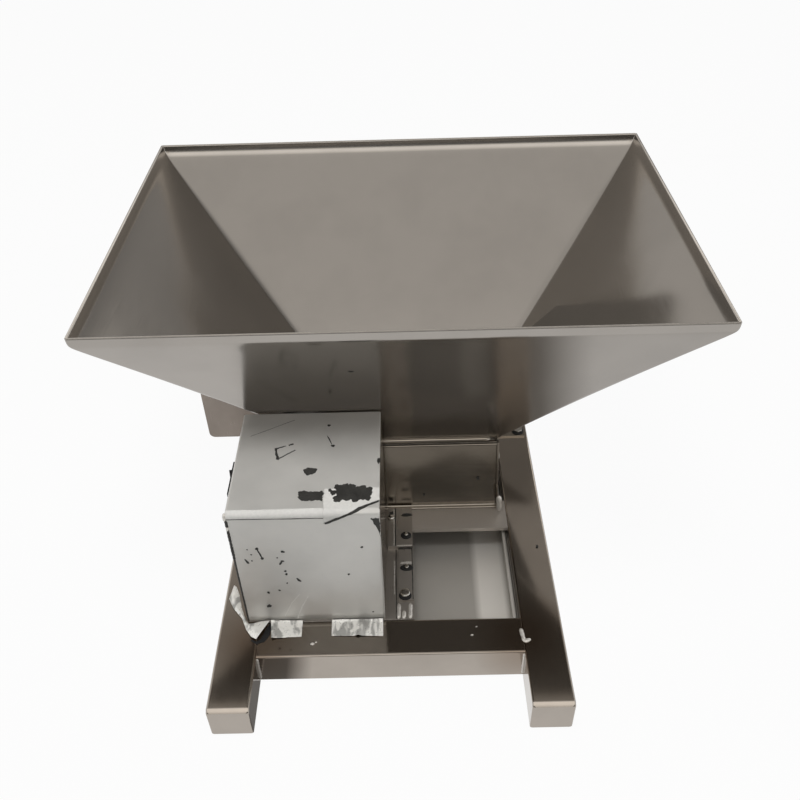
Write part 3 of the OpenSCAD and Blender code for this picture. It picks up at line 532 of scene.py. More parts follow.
def steel_finish(name, colour, rubbed=None, roughness=0.2, grain=1.0, stretch=(1.0, 1.0, 1.0), smudge=0.2,
                 uneven=0.2, heat=(), sheet_uv=False, metal=1.0, lighter=1.0):
    """Rolled or ground steel. Streaks of the grain's width in millimetres, drawn out by stretch, vary the
    gloss and lift a fine bump; broad smudges, a hand wide, dull and darken it; heat lists points round which
    it is tinted; metal falls below 1 where a dusty or blasted skin scatters light; rubbed is the colour of a
    lengthwise lane of painted sheen. A real grain is too fine to show, so it is drawn about ten times as
    coarse."""
    material, tree, shader, place = new_material(name)
    steel = shade(colour, lighter)
    flat = add(tree, "UVMap", uv_map="sheet") if sheet_uv else place
    drawn = add(tree, "Mapping", {"Vector": flat, "Scale": stretch})
    streak = add(tree, "TexNoise", {"Vector": drawn, "Scale": per_size(grain), "Detail": 3.0})
    cloud = add(tree, "TexNoise", {
        "Vector": place, "Scale": per_size(SMUDGE), "Detail": 4.0, "Roughness": 0.55})
    wiped = add(tree, "MapRange", {0: cloud, 1: 0.42, 2: 0.68, 3: 0.0, 4: smudge})
    body = add(tree, "Mix", {0: wiped, 6: steel, 7: shade(steel, 0.62)}, 2, data_type="RGBA")
    for point, reach, tint in heat:
        away = add(tree, "VectorMath", {0: place, 1: point}, 1, operation="DISTANCE")
        near = add(tree, "MapRange", {0: away, 1: reach, 2: reach * 0.25, 3: 0.0, 4: 0.55})
        body = add(tree, "Mix", {0: near, 6: body, 7: tint}, 2, data_type="RGBA")
    # A lengthwise lane painted brighter: a painted sheen
    if rubbed:
        across = add(tree, "SeparateXYZ", {0: place})
        off = add(tree, "Math", {0: across, 1: SHEEN_LANE_MIDDLE}, operation="SUBTRACT")
        away = add(tree, "Math", {0: off}, operation="ABSOLUTE")
        near = add(tree, "MapRange", {0: away, 1: SHEEN_LANE_HALF * 1.25, 2: SHEEN_LANE_HALF * 0.75, 3: 0.0, 4: 1.0})
        body = add(tree, "Mix", {0: near, 6: body, 7: rubbed}, 2, data_type="RGBA")
    low, high = roughness * (1 - uneven), roughness * (1 + uneven)
    gloss = add(tree, "MapRange", {0: streak, 1: 0.3, 2: 0.7, 3: low, 4: high})
    dulled = add(tree, "Math", {0: wiped, 1: 0.15, 2: gloss}, operation="MULTIPLY_ADD")
    bump = add(tree, "Bump", {"Height": streak, "Strength": 0.03, "Distance": 0.06 * MM})
    connect(tree, shader, {"Base Color": body, "Metallic": metal, "Roughness": dulled, "Normal": bump})
    return material


def matte_finish(name, colour, roughness, speck, contrast, bump_height, metal=0.0, coat=0.0):
    """Paint, rubber or plastic: two noises, one of the speck's size and one eight times as broad, vary the
    colour and the gloss, and the fine one lifts a bump of the given height. Sizes are in millimetres."""
    material, tree, shader, place = new_material(name)
    fine = add(tree, "TexNoise", {"Vector": place, "Scale": per_size(speck), "Detail": 3.0})
    broad = add(tree, "TexNoise", {"Vector": place, "Scale": per_size(speck * 8), "Detail": 2.0})
    both = add(tree, "Math", {0: fine, 1: broad}, operation="MULTIPLY")
    share = add(tree, "MapRange", {0: both, 1: 0.12, 2: 0.42, 3: 0.0, 4: 1.0})
    body = add(tree, "Mix", {0: share, 6: shade(colour, 1 - contrast), 7: colour}, 2, data_type="RGBA")
    gloss = add(tree, "MapRange", {0: broad, 1: 0.3, 2: 0.7, 3: roughness * 0.8, 4: roughness * 1.2})
    bump = add(tree, "Bump", {"Height": fine, "Strength": 0.4, "Distance": bump_height * MM})
    connect(tree, shader, {"Base Color": body, "Roughness": gloss, "Normal": bump, "Metallic": metal,
                           "Coat Weight": coat})
    return material


def film_cover(name, colour, cloud_size, speck):
    """Film stuck on satin steel: the steel's soft sheen under a matte skin, with faint clouds where air
    lies under it, shallow wrinkles and a few darker specks. Sizes are in millimetres."""
    material, tree, shader, place = new_material(name)
    cloud = add(tree, "TexNoise", {"Vector": place, "Scale": per_size(cloud_size), "Detail": 5.0})
    fine = add(tree, "TexNoise", {"Vector": place, "Scale": per_size(speck), "Detail": 4.0})
    share = add(tree, "MapRange", {0: cloud, 1: 0.36, 2: 0.66, 3: 0.0, 4: 1.0})
    body = add(tree, "Mix", {0: share, 6: shade(colour, 0.92), 7: colour}, 2, data_type="RGBA")
    dust = add(tree, "MapRange", {0: fine, 1: 0.64, 2: 0.76, 3: 0.0, 4: 0.16})
    body = add(tree, "Mix", {0: dust, 6: body, 7: shade(colour, 0.75)}, 2, data_type="RGBA")
    gloss = add(tree, "MapRange", {0: cloud, 1: 0.3, 2: 0.7, 3: 0.34, 4: 0.46})
    bump = add(tree, "Bump", {"Height": cloud, "Strength": 0.12, "Distance": 1.0 * MM})
    connect(tree, shader, {"Base Color": body, "Roughness": gloss, "Normal": bump, "Metallic": 0.35})
    return material


def crumpled_foil(name, colour, shade_band_size, grain):
    """Crumpled foil: pale, with grey bands of painted shade for folds that turn away from the light, on top
    of the creases that the mesh gives. Sizes are in millimetres."""
    material, tree, shader, place = new_material(name)
    long = add(tree, "Mapping", {"Vector": place, "Scale": (1.0, 0.45, 1.0)})
    fold = add(tree, "TexNoise", {
        "Vector": long, "Scale": per_size(shade_band_size), "Detail": 3.0, "Distortion": 0.8})
    fine = add(tree, "TexNoise", {"Vector": place, "Scale": per_size(grain), "Detail": 3.0})
    # Grey bands of painted shade
    band = add(tree, "MapRange", {0: fold, 1: 0.52, 2: 0.62, 3: 0.0, 4: 0.7})
    body = add(tree, "Mix", {0: band, 6: colour, 7: shade(colour, 0.22)}, 2, data_type="RGBA")
    gloss = add(tree, "MapRange", {0: fine, 1: 0.3, 2: 0.7, 3: 0.25, 4: 0.42})
    bump = add(tree, "Bump", {"Height": fine, "Strength": 0.35, "Distance": 0.3 * MM})
    connect(tree, shader, {"Base Color": body, "Roughness": gloss, "Normal": bump, "Metallic": 0.3})
    return material


def weld_heat():
    """Points of heat tint on the tubes: where the front tube meets the beams, with the reach and the
    brown."""
    lo, hi = corners("front_cross_tube")
    middle = (lo[1] + hi[1]) / 2
    brown = linear("#6b5138")
    return [((x, middle, hi[2]), 55.0 * MM, brown) for x in (lo[0], hi[0])]


# Each finish: its maker, its material's name, the settings and tones that colour it, and its values
FINISHES = {
    # Sheet with a satin mill finish: soft, wide reflections and a fine level grain
    "hopper_sheet": (steel_finish, "cold_rolled_stainless_sheet", "hopper", "steel", dict(
        roughness=0.17, grain=1.2, stretch=(0.03, 1.0, 1.0), smudge=0.16, uneven=0.15, sheet_uv=True)),
    # Drawn tube, belt polished: dark mirror tops, and straw to brown heat tint round the welds
    "tube_steel": (steel_finish, "belt_polished_stainless_tube", "base", "steel", dict(
        roughness=0.1, grain=1.0, stretch=(1.0, 0.03, 1.0), smudge=0.25, heat=weld_heat())),
    # Flat bar: duller and paler than the tube, its faint draw lines running across the machine
    "bar_steel": (steel_finish, "cold_drawn_stainless_bar", "base", "bar", dict(
        roughness=0.34, grain=1.4, stretch=(0.02, 1.0, 1.0), smudge=0.15, uneven=0.06, metal=0.6,
        lighter=1.25)),
    # The same bar laid lengthwise, so that its draw lines run to the back
    "rail_steel": (steel_finish, "cold_drawn_stainless_rail", "base", "bar", dict(
        roughness=0.3, grain=1.4, stretch=(1.0, 0.03, 1.0), uneven=0.1, metal=0.75)),
    # Thick sheet that crumbs have rubbed: dark, half mirror, cloudy with wiping
    "chamber_sheet": (steel_finish, "wiped_stainless_sheet", "chamber", "steel", dict(
        roughness=0.16, grain=1.5, stretch=(0.05, 1.0, 1.0), smudge=0.4)),
    # Thin blasted sheet: an even steel with no grain to see, and one lane painted bright as a painted sheen
    "drawer_sheet": (steel_finish, "bead_blasted_stainless_sheet", "drawer", "steel rubbed", dict(
        roughness=0.42, grain=0.8, smudge=0.12, uneven=0.1, metal=0.5)),
    # Machined steel: tight turning marks round the drum's axis, so the streaks are thin along it
    "turned_steel": (steel_finish, "turned_carbon_steel", "fittings", "turned", dict(
        roughness=0.28, grain=0.6, stretch=(1.0, 0.1, 0.1), smudge=0.3)),
    # Plated bolts: bright, a little cloudy, no grain to speak of
    "fastener_steel": (steel_finish, "zinc_plated_steel", "fittings", "bolt", dict(
        roughness=0.22, grain=1.5, smudge=0.25)),
    # Brushed weld: bright and uneven; also the painted highlights along the rail's edges
    "weld": (steel_finish, "brushed_weld_metal", "base", "weld", dict(roughness=0.3, grain=1.2, metal=0.55)),
    # Pickled sheet, left bare and rubbed: brown grey, with wide dull reflections
    "box_sheet": (steel_finish, "rubbed_mild_steel_sheet", "fittings", "box", dict(
        roughness=0.3, grain=1.5, stretch=(1.0, 1.0, 0.05), smudge=0.45)),
    # Cast iron with a light oil film: dark grey and grainy
    "cast_hub": (matte_finish, "sand_cast_iron", "fittings", "cast", dict(
        roughness=0.5, speck=0.9, contrast=0.45, bump_height=0.12, metal=0.6)),
    # Sprayed enamel: half gloss with a faint orange peel
    "motor_paint": (matte_finish, "sprayed_machine_enamel", "fittings", "enamel", dict(
        roughness=0.38, speck=1.6, contrast=0.25, bump_height=0.05, coat=0.2)),
    # Varnished wire, seen as a whole winding
    "winding_copper": (matte_finish, "varnished_copper", "fittings", "copper", dict(
        roughness=0.35, speck=0.8, contrast=0.5, bump_height=0.2, metal=0.9)),
    # Rubber, dusty from running; the same dark rubber makes the rings of painted shade under bolts and the
    # painted shadow under the foil's curled end
    "belt_rubber": (matte_finish, "moulded_rubber", "fittings", "rubber", dict(
        roughness=0.75, speck=0.7, contrast=0.5, bump_height=0.08)),
    # Nylon with a fine spark texture: black, with a soft grey sheen
    "black_plastic": (matte_finish, "injection_moulded_nylon", "fittings", "plastic", dict(
        roughness=0.42, speck=0.5, contrast=0.35, bump_height=0.03)),
    # Grey film over the cover's steel, matte and faintly clouded
    "filmed_sheet": (film_cover, "blown_polyethylene_film", "cover", "film", dict(
        cloud_size=42.0, speck=4.0)),
    # The same film, stretched white where it was torn and lifted, and as a painted highlight along the front
    # fold
    "torn": (matte_finish, "stretched_polyethylene_film", "cover", "torn", dict(
        roughness=0.45, speck=2.5, contrast=0.12, bump_height=0.1)),
    # Dirt on old adhesive: near black, dull and patchy; also painted shade in the rail's gaps and down the
    # cover's front left edge
    "residue_and_shade": (matte_finish, "dirty_adhesive", "cover", "residue_and_shade", dict(
        roughness=0.7, speck=1.2, contrast=0.6, bump_height=0.1)),
    # Film coated with metal: pale and creased, with grey bands of painted shade
    "foil": (crumpled_foil, "aluminium_coated_film", "cover", "foil", dict(shade_band_size=11.0, grain=2.5)),
}
MADE = {}


def finish_of(slot):
    """The material of one of the record's slots, or of a finish of a small piece, made when it is first
    needed."""
    if slot not in MADE:
        maker, name, group, tones, values = FINISHES[slot]
        settings = getattr(bpy.context.scene, "crumb_" + group)
        MADE[slot] = maker(name, *[tuple(getattr(settings, key)) for key in tones.split()], **values)
    return MADE[slot]


# Hopper

def make_hopper(sizes):
    """The hopper's sheet: a rounded rectangle carried up the outside, over the squarish rim and down the
    inside. Its bounds spread from the throat's to the rim's by a ramp with softened ends; the flats bow a
    little, by a half sine each way."""
    lo = np.min([corners(wall)[0] for wall in HOPPER_WALLS], 0)
    hi = np.max([corners(wall)[1] for wall in HOPPER_WALLS], 0)
    panel_lo, panel_hi = corners("front_panel")
    throat_back = corners("rear_panel")[0][1]
    throat_front = panel_hi[1]
    half = sizes.wall / 2
    near, crowd = 0.5 * MM, 4.0 * MM
    spigot, lip, rim = lo[2] + sizes.spigot, hi[2] - sizes.lip, hi[2]
    soft = np.linspace(-crowd, crowd, 9)
    slope = np.linspace(spigot + 2 * crowd, lip - 2 * crowd, 30)
    rise = np.concatenate([[lo[2], lo[2] + near], spigot + soft, slope, lip + soft, [rim - half - near]])
    turn = np.linspace(0.0, math.pi, 9)
    crown = np.sqrt(np.abs(np.sin(turn)))
    across = np.sign(np.cos(turn)) * np.sqrt(np.abs(np.cos(turn)))
    height = np.concatenate([rise, rim - half + half * crown, rise[::-1], rise[:1]])
    inset = np.concatenate([0 * rise, half - half * across, 0 * rise + 2 * half, [0.0]])
    ramp = (height - spigot) / (lip - spigot)
    blur = sizes.bend / (lip - spigot)
    inner = 0 * rise + sizes.inner_bend
    over = np.linspace(sizes.bend, sizes.inner_bend, len(turn))
    top_blur = np.concatenate([0 * rise + sizes.bend, over, inner, inner[:1]]) / (lip - spigot)
    above = (ramp + np.sqrt(ramp ** 2 + blur ** 2)) / 2
    spread = 1 - ((1 - above) + np.sqrt((1 - above) ** 2 + top_blur ** 2)) / 2
    left = panel_lo[0] + spread * (lo[0] - panel_lo[0]) + inset
    right = panel_hi[0] + spread * (hi[0] - panel_hi[0]) - inset
    front = throat_front + spread * (lo[1] - throat_front) + inset
    back = throat_back + spread * (hi[1] - throat_back) - inset
    rounder = sizes.fold * np.sin(math.pi * np.clip(spread, 0.0, 1.0))
    radius = sizes.throat_corner + spread * (sizes.rim_corner - sizes.throat_corner) + rounder - inset
    ring = even_ring(24, 8)
    grid = ring_surface(ring, left, right, front, back, radius, height)
    share = np.where(np.abs(ring[3]) > 0.999, ring[0], ring[1])
    level = np.clip(spread, 0.0, 1.0)[:, None]
    wave = 1 + 0.5 * np.sin(8.0 * share + 5.0 * level) + 0.3 * np.sin(17.0 * share - 9.0 * level)
    bow = sizes.bow * np.sin(math.pi * share) * np.sin(math.pi * level) * wave
    grid[..., 0] += bow * ring[2]
    grid[..., 1] += bow * ring[3]
    sheet = np.stack(np.meshgrid(run_along(grid[len(rise)]), run_along(grid[:, 0])), -1)
    new_piece("hopper_shell", [grid], "hopper_sheet", HOPPER_WALLS, sheet=sheet)


# Base

def cap_surface(lo, hi, sizes, face, inwards):
    """A beam's closed end: rounded rectangles from the middle of its face out to its edges, then back along
    the tube. Near the face the top draws in by a slightly swollen chamfer, and the other sides by a small
    quarter circle."""
    swell = 0.12 * MM
    crown = (sizes.end - CLOSE) * np.linspace(0.0, 1.0, 15) ** 2
    depth = np.concatenate([0 * crown[:3], crown, [sizes.end, sizes.end]])
    share = np.concatenate([[0.0, 0.5, 0.97], 0 * crown + 1, [1.0, 0.0]])
    edge = quarter(sizes.end_edge, depth)
    along = np.clip(depth / crown[-1], 0.0, 1.0)
    top = sizes.end_drop * (1 - along) - swell * np.sin(math.pi * along)
    bounds = (lo[0] + edge, hi[0] - edge, lo[2] + edge, hi[2] - top)
    bounds = drawn_in(bounds, ((lo + hi) / 2)[[0, 2]], share)
    grid = ring_surface(even_ring(4), *bounds, sizes.corner * share, face + inwards * depth)
    return grid[..., [0, 2, 1]]


def make_tubes(sizes):
    """The square tubes: two beams with end caps, and the front tube between them."""
    cap_lo, cap_hi = corners("beam_end_caps")
    caps = []
    for name in ("left_beam", "right_beam"):
        lo, hi = corners(name)
        grid = tube_surface(lo, hi, 1, cap_lo[1] + sizes.end, cap_hi[1] - sizes.end, sizes.corner)
        new_piece(name + "_skin", [grid], "tube_steel", (name,))
        caps += [cap_surface(lo, hi, sizes, cap_lo[1], 1), cap_surface(lo, hi, sizes, cap_hi[1], -1)]
    new_piece("end_caps", caps, "tube_steel", ("beam_end_caps",))
    lo, hi = corners("front_cross_tube")
    grid = tube_surface(lo, hi, 0, lo[0], hi[0], sizes.corner)
    new_piece("front_tube_skin", [grid], "tube_steel", ("front_cross_tube",))


# Drops of weld spatter on the front tube: millimetres across and to the back, and half their length
SPATTER = ((61.1, -211.0, 1.6), (66.2, -201.5, 1.0), (-95.3, -217.3, 2.2), (-92.0, -215.5, 1.2))


def make_welds(sizes):
    """Weld beads: upright ones where the front tube meets the beams, a hooked one on top at the right, one
    at the foot of the chamber's right plate, three that end the rail, a few drops of spatter on the front
    tube, and the seam that closes the hopper's throat over the front panel."""
    lo, hi = corners("front_cross_tube")
    panel_lo, panel_hi = corners("front_panel")
    rail_lo, rail_hi = corners("mounting_rail")
    top, ripple = hi[2], sizes.ripple
    thin = sizes.bead * 0.6
    sunk = 0.5 * MM
    face = lo[1] + sunk
    beads = []
    for side in (lo[0] + sunk, hi[0] - sunk):
        beads.append(([(side, face, top - 2 * MM), (side, face, lo[2] + 3 * MM)], thin, ripple * 2, AHEAD))
    hook = [(hi[0] - 1.6 * MM, hi[1] - 13 * MM, top), (hi[0] + 0.5 * MM, hi[1] - 28.4 * MM, top),
            (hi[0] + 7.2 * MM, hi[1] - 25.6 * MM, top)]
    beads.append((rounded_path(hook, 1.5 * MM), thin * 1.3, ripple * 2, UP))
    side, foot_y = panel_hi[0] + 2 * MM, panel_lo[1] - 6 * MM
    foot = [(side, foot_y, top + 26 * MM), (side + 1.5 * MM, foot_y - 1 * MM, top + 1 * MM)]
    beads.append((foot, sizes.bead * 1.15, ripple * 5, AHEAD))
    legs = ((rail_lo[0] + 2.4 * MM, 20.0), (rail_lo[0] + 7.6 * MM, 11.0), (rail_hi[0] - 3.8 * MM, 20.0))
    for x, long in legs:
        leg = [(x, rail_lo[1] + long * MM, top), (x - 0.4 * MM, rail_lo[1] + 0.5 * MM, top)]
        beads.append((leg, thin * 1.25, ripple * 4, UP))
    for x, y, reach in SPATTER:
        drop = [((x - reach) * MM, y * MM, top), ((x + reach) * MM, (y + 0.6) * MM, top)]
        beads.append((drop, reach * 0.7 * MM, ripple * 3, UP))
    new_piece("frame_welds", [bead_surface(*bead) for bead in beads], "tube_steel", finish="weld")
    seam_y, seam_z = panel_hi[1] - 2.9 * MM, panel_hi[2] + 3.6 * MM
    seam = [(panel_lo[0] + 2 * MM, seam_y, seam_z), (panel_hi[0] - 2 * MM, seam_y, seam_z)]
    new_piece("throat_seam", [bead_surface(seam, sizes.bead, ripple * 30, AHEAD)], "chamber_sheet")


def level_place(height):
    """Gives a function that lays a mark on a level face at a height, by its places across and to the
    back."""
    def place(across, back, lift):
        return grid_of(across, back, height + lift)

    return place


# Profiles of the rail's bolts: radius and height in millimetres, from the middle of the top down
STUD = ((0.0, 3.4), (1.6, 3.4), (2.0, 3.2), (2.2, 2.8), (2.2, 0.0), (0.0, 0.0))
HEAD = ((0.0, 3.2), (3.6, 3.2), (4.4, 3.0), (5.0, 2.5), (5.2, 1.9), (5.2, 0.0), (0.0, 0.0))
# A flat ring of painted shade under a bolt
SHADE_RING = ((0.0, 1.4), (3.0, 1.4), (4.4, 1.2), (5.0, 0.6), (5.0, 0.0), (0.0, 0.0))


def make_rail_bolts():
    """Bolts on the rail: two studs and two flat round heads, each a turned profile with small radii at its
    edges; dark oval rings of painted shade round them, standing for the shade in their slots, and one round
    the bolt on the right beam; and, as flat marks in millimetres across and to the back, painted shade in the
    gaps between the rail's plates and painted highlights along its edges."""
    rail_hi = corners("mounting_rail")[1]
    stop_lo, stop_hi = corners("stop_plate")
    clamp_hi = corners("clamp_plate")[1]
    plate_hi = corners("right_side_plate")[1]
    bar_front = corners("middle_cross_bar")[0][1]
    x = rail_hi[0] - 7.0 * MM
    clamp_at = np.array([x, bar_front - 12.0 * MM, clamp_hi[2]])
    stop_at = np.array([x, stop_lo[1] + 0.6 * (stop_hi[1] - stop_lo[1]), stop_hi[2]])
    round_at = np.array([x - 2.0 * MM, stop_lo[1] + 7.5 * MM, stop_hi[2]])
    left_at = np.array([x - 16.2 * MM, bar_front + 13.5 * MM, clamp_hi[2]])
    heads = [turned_surface(clamp_at, STUD), turned_surface(stop_at, STUD), turned_surface(round_at, HEAD),
             turned_surface(left_at, HEAD, (0.75, 0.6))]
    new_piece("rail_bolt_heads", heads, "fastener_steel", ("rail_bolts",))
    low = round_at - np.array([0.0, 2.4 * MM, 0.0])
    beam_top = corners("right_beam")[1][2]
    foot_at = np.array([plate_hi[0] - 7.5 * MM, plate_hi[1] - 25.0 * MM, beam_top + 2 * MM])
    # Dark rings of painted shade, for the shade round the bolts in their slots
    rings = [turned_surface(clamp_at, SHADE_RING, (1.15, 1.0)), turned_surface(stop_at, SHADE_RING, (1.4, 0.8)),
             turned_surface(low, SHADE_RING, (1.3, 1.15)), turned_surface(foot_at, SHADE_RING, (1.5, 1.5))]
    new_piece("rail_washers", rings, "belt_rubber")
    clamp, stop, rail = [level_place(level) for level in (clamp_hi[2], stop_hi[2], rail_hi[2])]
    # Painted shade in the gaps between the plates and round a bolt
    gaps = [
        strip(clamp, -13.9, -12.7, -99.4, -44.4, 0.15, 41),
        strip(rail, -13.4, -12.4, -190.0, -101.0, 0.15, 42),
        strip(stop, -10.2, 4.8, -103.0, -101.2, 0.2, 43),
        blot(clamp, -0.7, -55.2, 12.0, 4.6, 0.0, 0.1, 44),
        strip(stop, 3.7, 4.8, -168.5, -103.0, 0.15, 45),
        blot(clamp, -17.6, -52.6, 5.6, 6.0, 0.0, 0.3, 46),
    ]
    new_piece("rail_gaps", gaps, "bar_steel", finish="residue_and_shade", facing=UP)
    # Painted highlights along the plates' edges
    edges = [
        strip(clamp, -15.4, -14.2, -99.0, -45.0, 0.2, 51),
        strip(clamp, -12.0, 4.8, -99.6, -98.0, 0.15, 52),
        patch(stop, ((-9.0, -122.6), (3.6, -122.6), (3.2, -119.6), (-7.6, -120.2)), 0.4, 53),
        strip(rail, -15.2, -14.2, -160.0, -116.0, 0.2, 54),
    ]
    new_piece("rail_bright_edges", edges, "bar_steel", finish="weld", facing=UP)


# Motor cover, with its film, marks and foil

def skin_place(sizes):
    """Gives a function that lays a mark on the cover: across is the distance from the left side, over the
    distance past the start of the front top fold. Below 0 that is level on the top, then round the fold by
    its arc, then straight down the front; lift is the height off the skin."""
    lo, hi = corners("motor_cover")
    fold = sizes.fold

    def place(across, over, lift):
        turn = np.clip(over / fold, 0.0, math.pi / 2)
        down = np.maximum(over - fold * math.pi / 2, 0.0)
        back = np.maximum(-over, 0.0)
        y = lo[1] + fold - (fold + lift) * np.sin(turn) + back
        z = hi[2] - fold + (fold + lift) * np.cos(turn) - down
        return grid_of(lo[0] + across, y, z)

    return place


def make_cover(sizes):
    """The motor cover: a rounded rectangle carried up its sides, round the fold and in over the top to the
    middle, with openings for the belt at the back and for the switch at the left. Its right side is bare of
    film; dark beads of painted shade, for the shade on the rounded edge, run down its front left edge, and
    two bright weld beads sit on it near the top."""
    lo, hi = corners("motor_cover")
    drum_lo, drum_hi = corners("drum_pulley")
    motor_lo, motor_hi = corners("motor_pulley")
    switch_lo, switch_hi = corners("switch_housing")
    rim = 1.8 * MM
    margin = 5 * MM
    drum, motor = (drum_lo + drum_hi) / 2, (motor_lo + motor_hi) / 2
    share = (hi[1] - motor[1]) / (drum[1] - motor[1])
    belt = motor[2] + share * (drum[2] - motor[2])
    reach = (drum_hi[2] - drum_lo[2]) / 2 + margin
    door_x = (drum_lo[0] - margin, drum_hi[0] + margin)
    door_z = (belt - reach, belt + reach)
    slot_y = (switch_lo[1] + rim, switch_hi[1] - rim)
    slot_z = (switch_lo[2] + rim, switch_hi[2] - rim)
    fold, edge = sizes.fold, sizes.edge
    across = (np.array(door_x) - lo[0] - edge) / (hi[0] - lo[0] - 2 * edge)
    along = (np.array(slot_y) - lo[1] - edge) / (hi[1] - lo[1] - 2 * edge)
    ring = outline_columns(side_shares(), side_shares(), side_shares(across), side_shares(along))
    wall = np.unique(np.concatenate([np.linspace(lo[2], hi[2] - fold - 0.5 * MM, 14), door_z, slot_z]))
    wall = wall[wall < hi[2] - fold - 0.4 * MM]
    bend = hi[2] - fold + fold * np.sin(np.linspace(0.0, math.pi / 2, 17))
    shrink = np.array([0.985, 0.7, 0.35, 0.0])
    height = np.concatenate([wall, bend, 0 * shrink + hi[2]])
    keep_in = np.concatenate([0 * wall + 1, 0 * bend + 1, shrink])
    front_in, side_in = [quarter(r, hi[2] - height) for r in (fold, edge)]
    bounds = (lo[0] + side_in, hi[0] - side_in, lo[1] + front_in, hi[1] - side_in)
    bounds = drawn_in(bounds, ((lo + hi) / 2)[:2], keep_in)
    radius = np.maximum(edge - side_in, 0.3 * MM) * keep_in
    grid = ring_surface(ring, *bounds, radius, height)

    def solid(at):
        """Which faces stay: those outside the belt's door and the switch's slot."""
        door = (at[:, 1] > hi[1] - edge) & (at[:, 0] > door_x[0]) & (at[:, 0] < door_x[1])
        door &= (at[:, 2] > door_z[0]) & (at[:, 2] < door_z[1])
        slot = (at[:, 0] < lo[0] + edge) & (at[:, 1] > slot_y[0]) & (at[:, 1] < slot_y[1])
        slot &= (at[:, 2] > slot_z[0]) & (at[:, 2] < slot_z[1])
        return ~(door | slot)

    cover = new_piece("motor_cover_skin", [grid], "filmed_sheet", ("motor_cover",), keep=solid)
    cover.data.materials.append(finish_of("chamber_sheet"))
    # The second material goes to the faces that look to the right
    normals = np.zeros(len(cover.data.polygons) * 3)
    cover.data.polygons.foreach_get("normal", normals)
    bare = (normals.reshape(-1, 3)[:, 0] > 0.8).astype(np.int32)
    cover.data.polygons.foreach_set("material_index", bare)
    thicken(cover, sizes.sheet, -1.0)
    sunk = 0.5 * MM
    x, y, top, foot = lo[0] + sunk, lo[1] + sunk, hi[2], lo[2] + 1 * MM
    near = y - 0.3 * MM
    # Each bead: its upper end, its lower end, its half width and its ripple
    # The dark beads are painted shade down the rounded front left edge; the bright ones are weld metal
    seam = (((x, y, top - 7 * MM), (x, y, top - 62 * MM), 1.6 * MM, 5 * MM),
            ((x, y, top - 58 * MM), (x, y, foot), 1.1 * MM, 7 * MM))
    knob = (((x - 0.6 * MM, y + 2.5 * MM, top - 0.5 * MM), (x - 1.2 * MM, y, top - 9 * MM),
             2.0 * MM, 3 * MM),
            ((x, near, top - 14 * MM), (x, near, top - 22 * MM), 1.5 * MM, 3 * MM))
    for name, rows, finish in (("cover_seam", seam, "residue_and_shade"), ("cover_corner_bead", knob, "weld")):
        grids = [bead_surface(path, half, ripple, (-1, -1, 0)) for *path, half, ripple in rows]
        new_piece(name, grids, "filmed_sheet", finish=finish)


# Marks on the cover, in millimetres across from its left side and over the start of its front fold, below 0
# on the top. A patch: its four corners, how ragged it is, its seed, and its lift and rows if they are its own
DARK_MARK_AND_SHADE_PATCHES = (
    (((36.2, -78.4), (38.4, -77.6), (42.2, -63.6), (39.6, -63.0)), 0.4, 11),
    (((36.4, -78.6), (47.0, -82.2), (47.2, -81.2), (37.6, -76.8)), 0.2, 12),
    (((49.2, -83.2), (53.6, -85.4), (54.4, -83.4), (49.8, -81.6)), 0.3, 20),
    (((40.4, -64.2), (56.2, -76.2), (56.8, -75.2), (41.0, -62.8)), 0.2, 13),
    (((63.2, -21.2), (86.8, -20.4), (86.2, -8.9), (65.4, -9.4)), 0.8, 14),
    (((129.2, 11.6), (137.4, 11.6), (137.4, 36.5), (135.2, 26.0)), 0.5, 16),
    # A dark line of painted shade down the front left edge
    (((0.1, 11.0), (1.3, 10.0), (1.5, 160.0), (0.1, 160.5)), 0.25, 17),
    # A thin dark line where the fold meets the front face
    (((1.0, 9.0), (87.5, 9.9), (87.5, 10.8), (1.0, 9.9)), 0.15, 18),
    # The slit: a dark line of painted shadow along the torn edge
    (((87.6, 16.2), (136.8, -8.4), (137.0, -5.6), (88.6, 18.6)), 0.6, 19, 0.5, 40),
    (((10.9, -96.6), (52.2, -119.3), (52.4, -118.9), (11.1, -96.2)), 0.1, 21),
)
PALE_FILM_AND_HIGHLIGHT_PATCHES = (
    # A pale band of painted highlight along the front fold
    (((0.5, 0.4), (87.2, 0.0), (87.2, 9.4), (0.5, 8.8)), 0.2, 4, 0.1, 60),
    (((87.2, -23.0), (137.3, -24.0), (137.3, -8.4), (88.0, 15.5)), 0.4, 5, 0.08, 60),
    (((55.8, 117.4), (56.6, 117.9), (47.4, 132.0), (46.6, 131.5)), 0.2, 61, 0.06),
    (((46.6, 131.5), (47.4, 132.0), (38.2, 152.9), (37.6, 152.4)), 0.2, 62, 0.06),
    (((63.6, 120.9), (64.6, 121.4), (56.7, 138.8), (55.5, 138.2)), 0.2, 63, 0.06),
    (((55.5, 138.2), (56.7, 138.8), (50.8, 156.6), (49.9, 156.0)), 0.2, 64, 0.06),
)
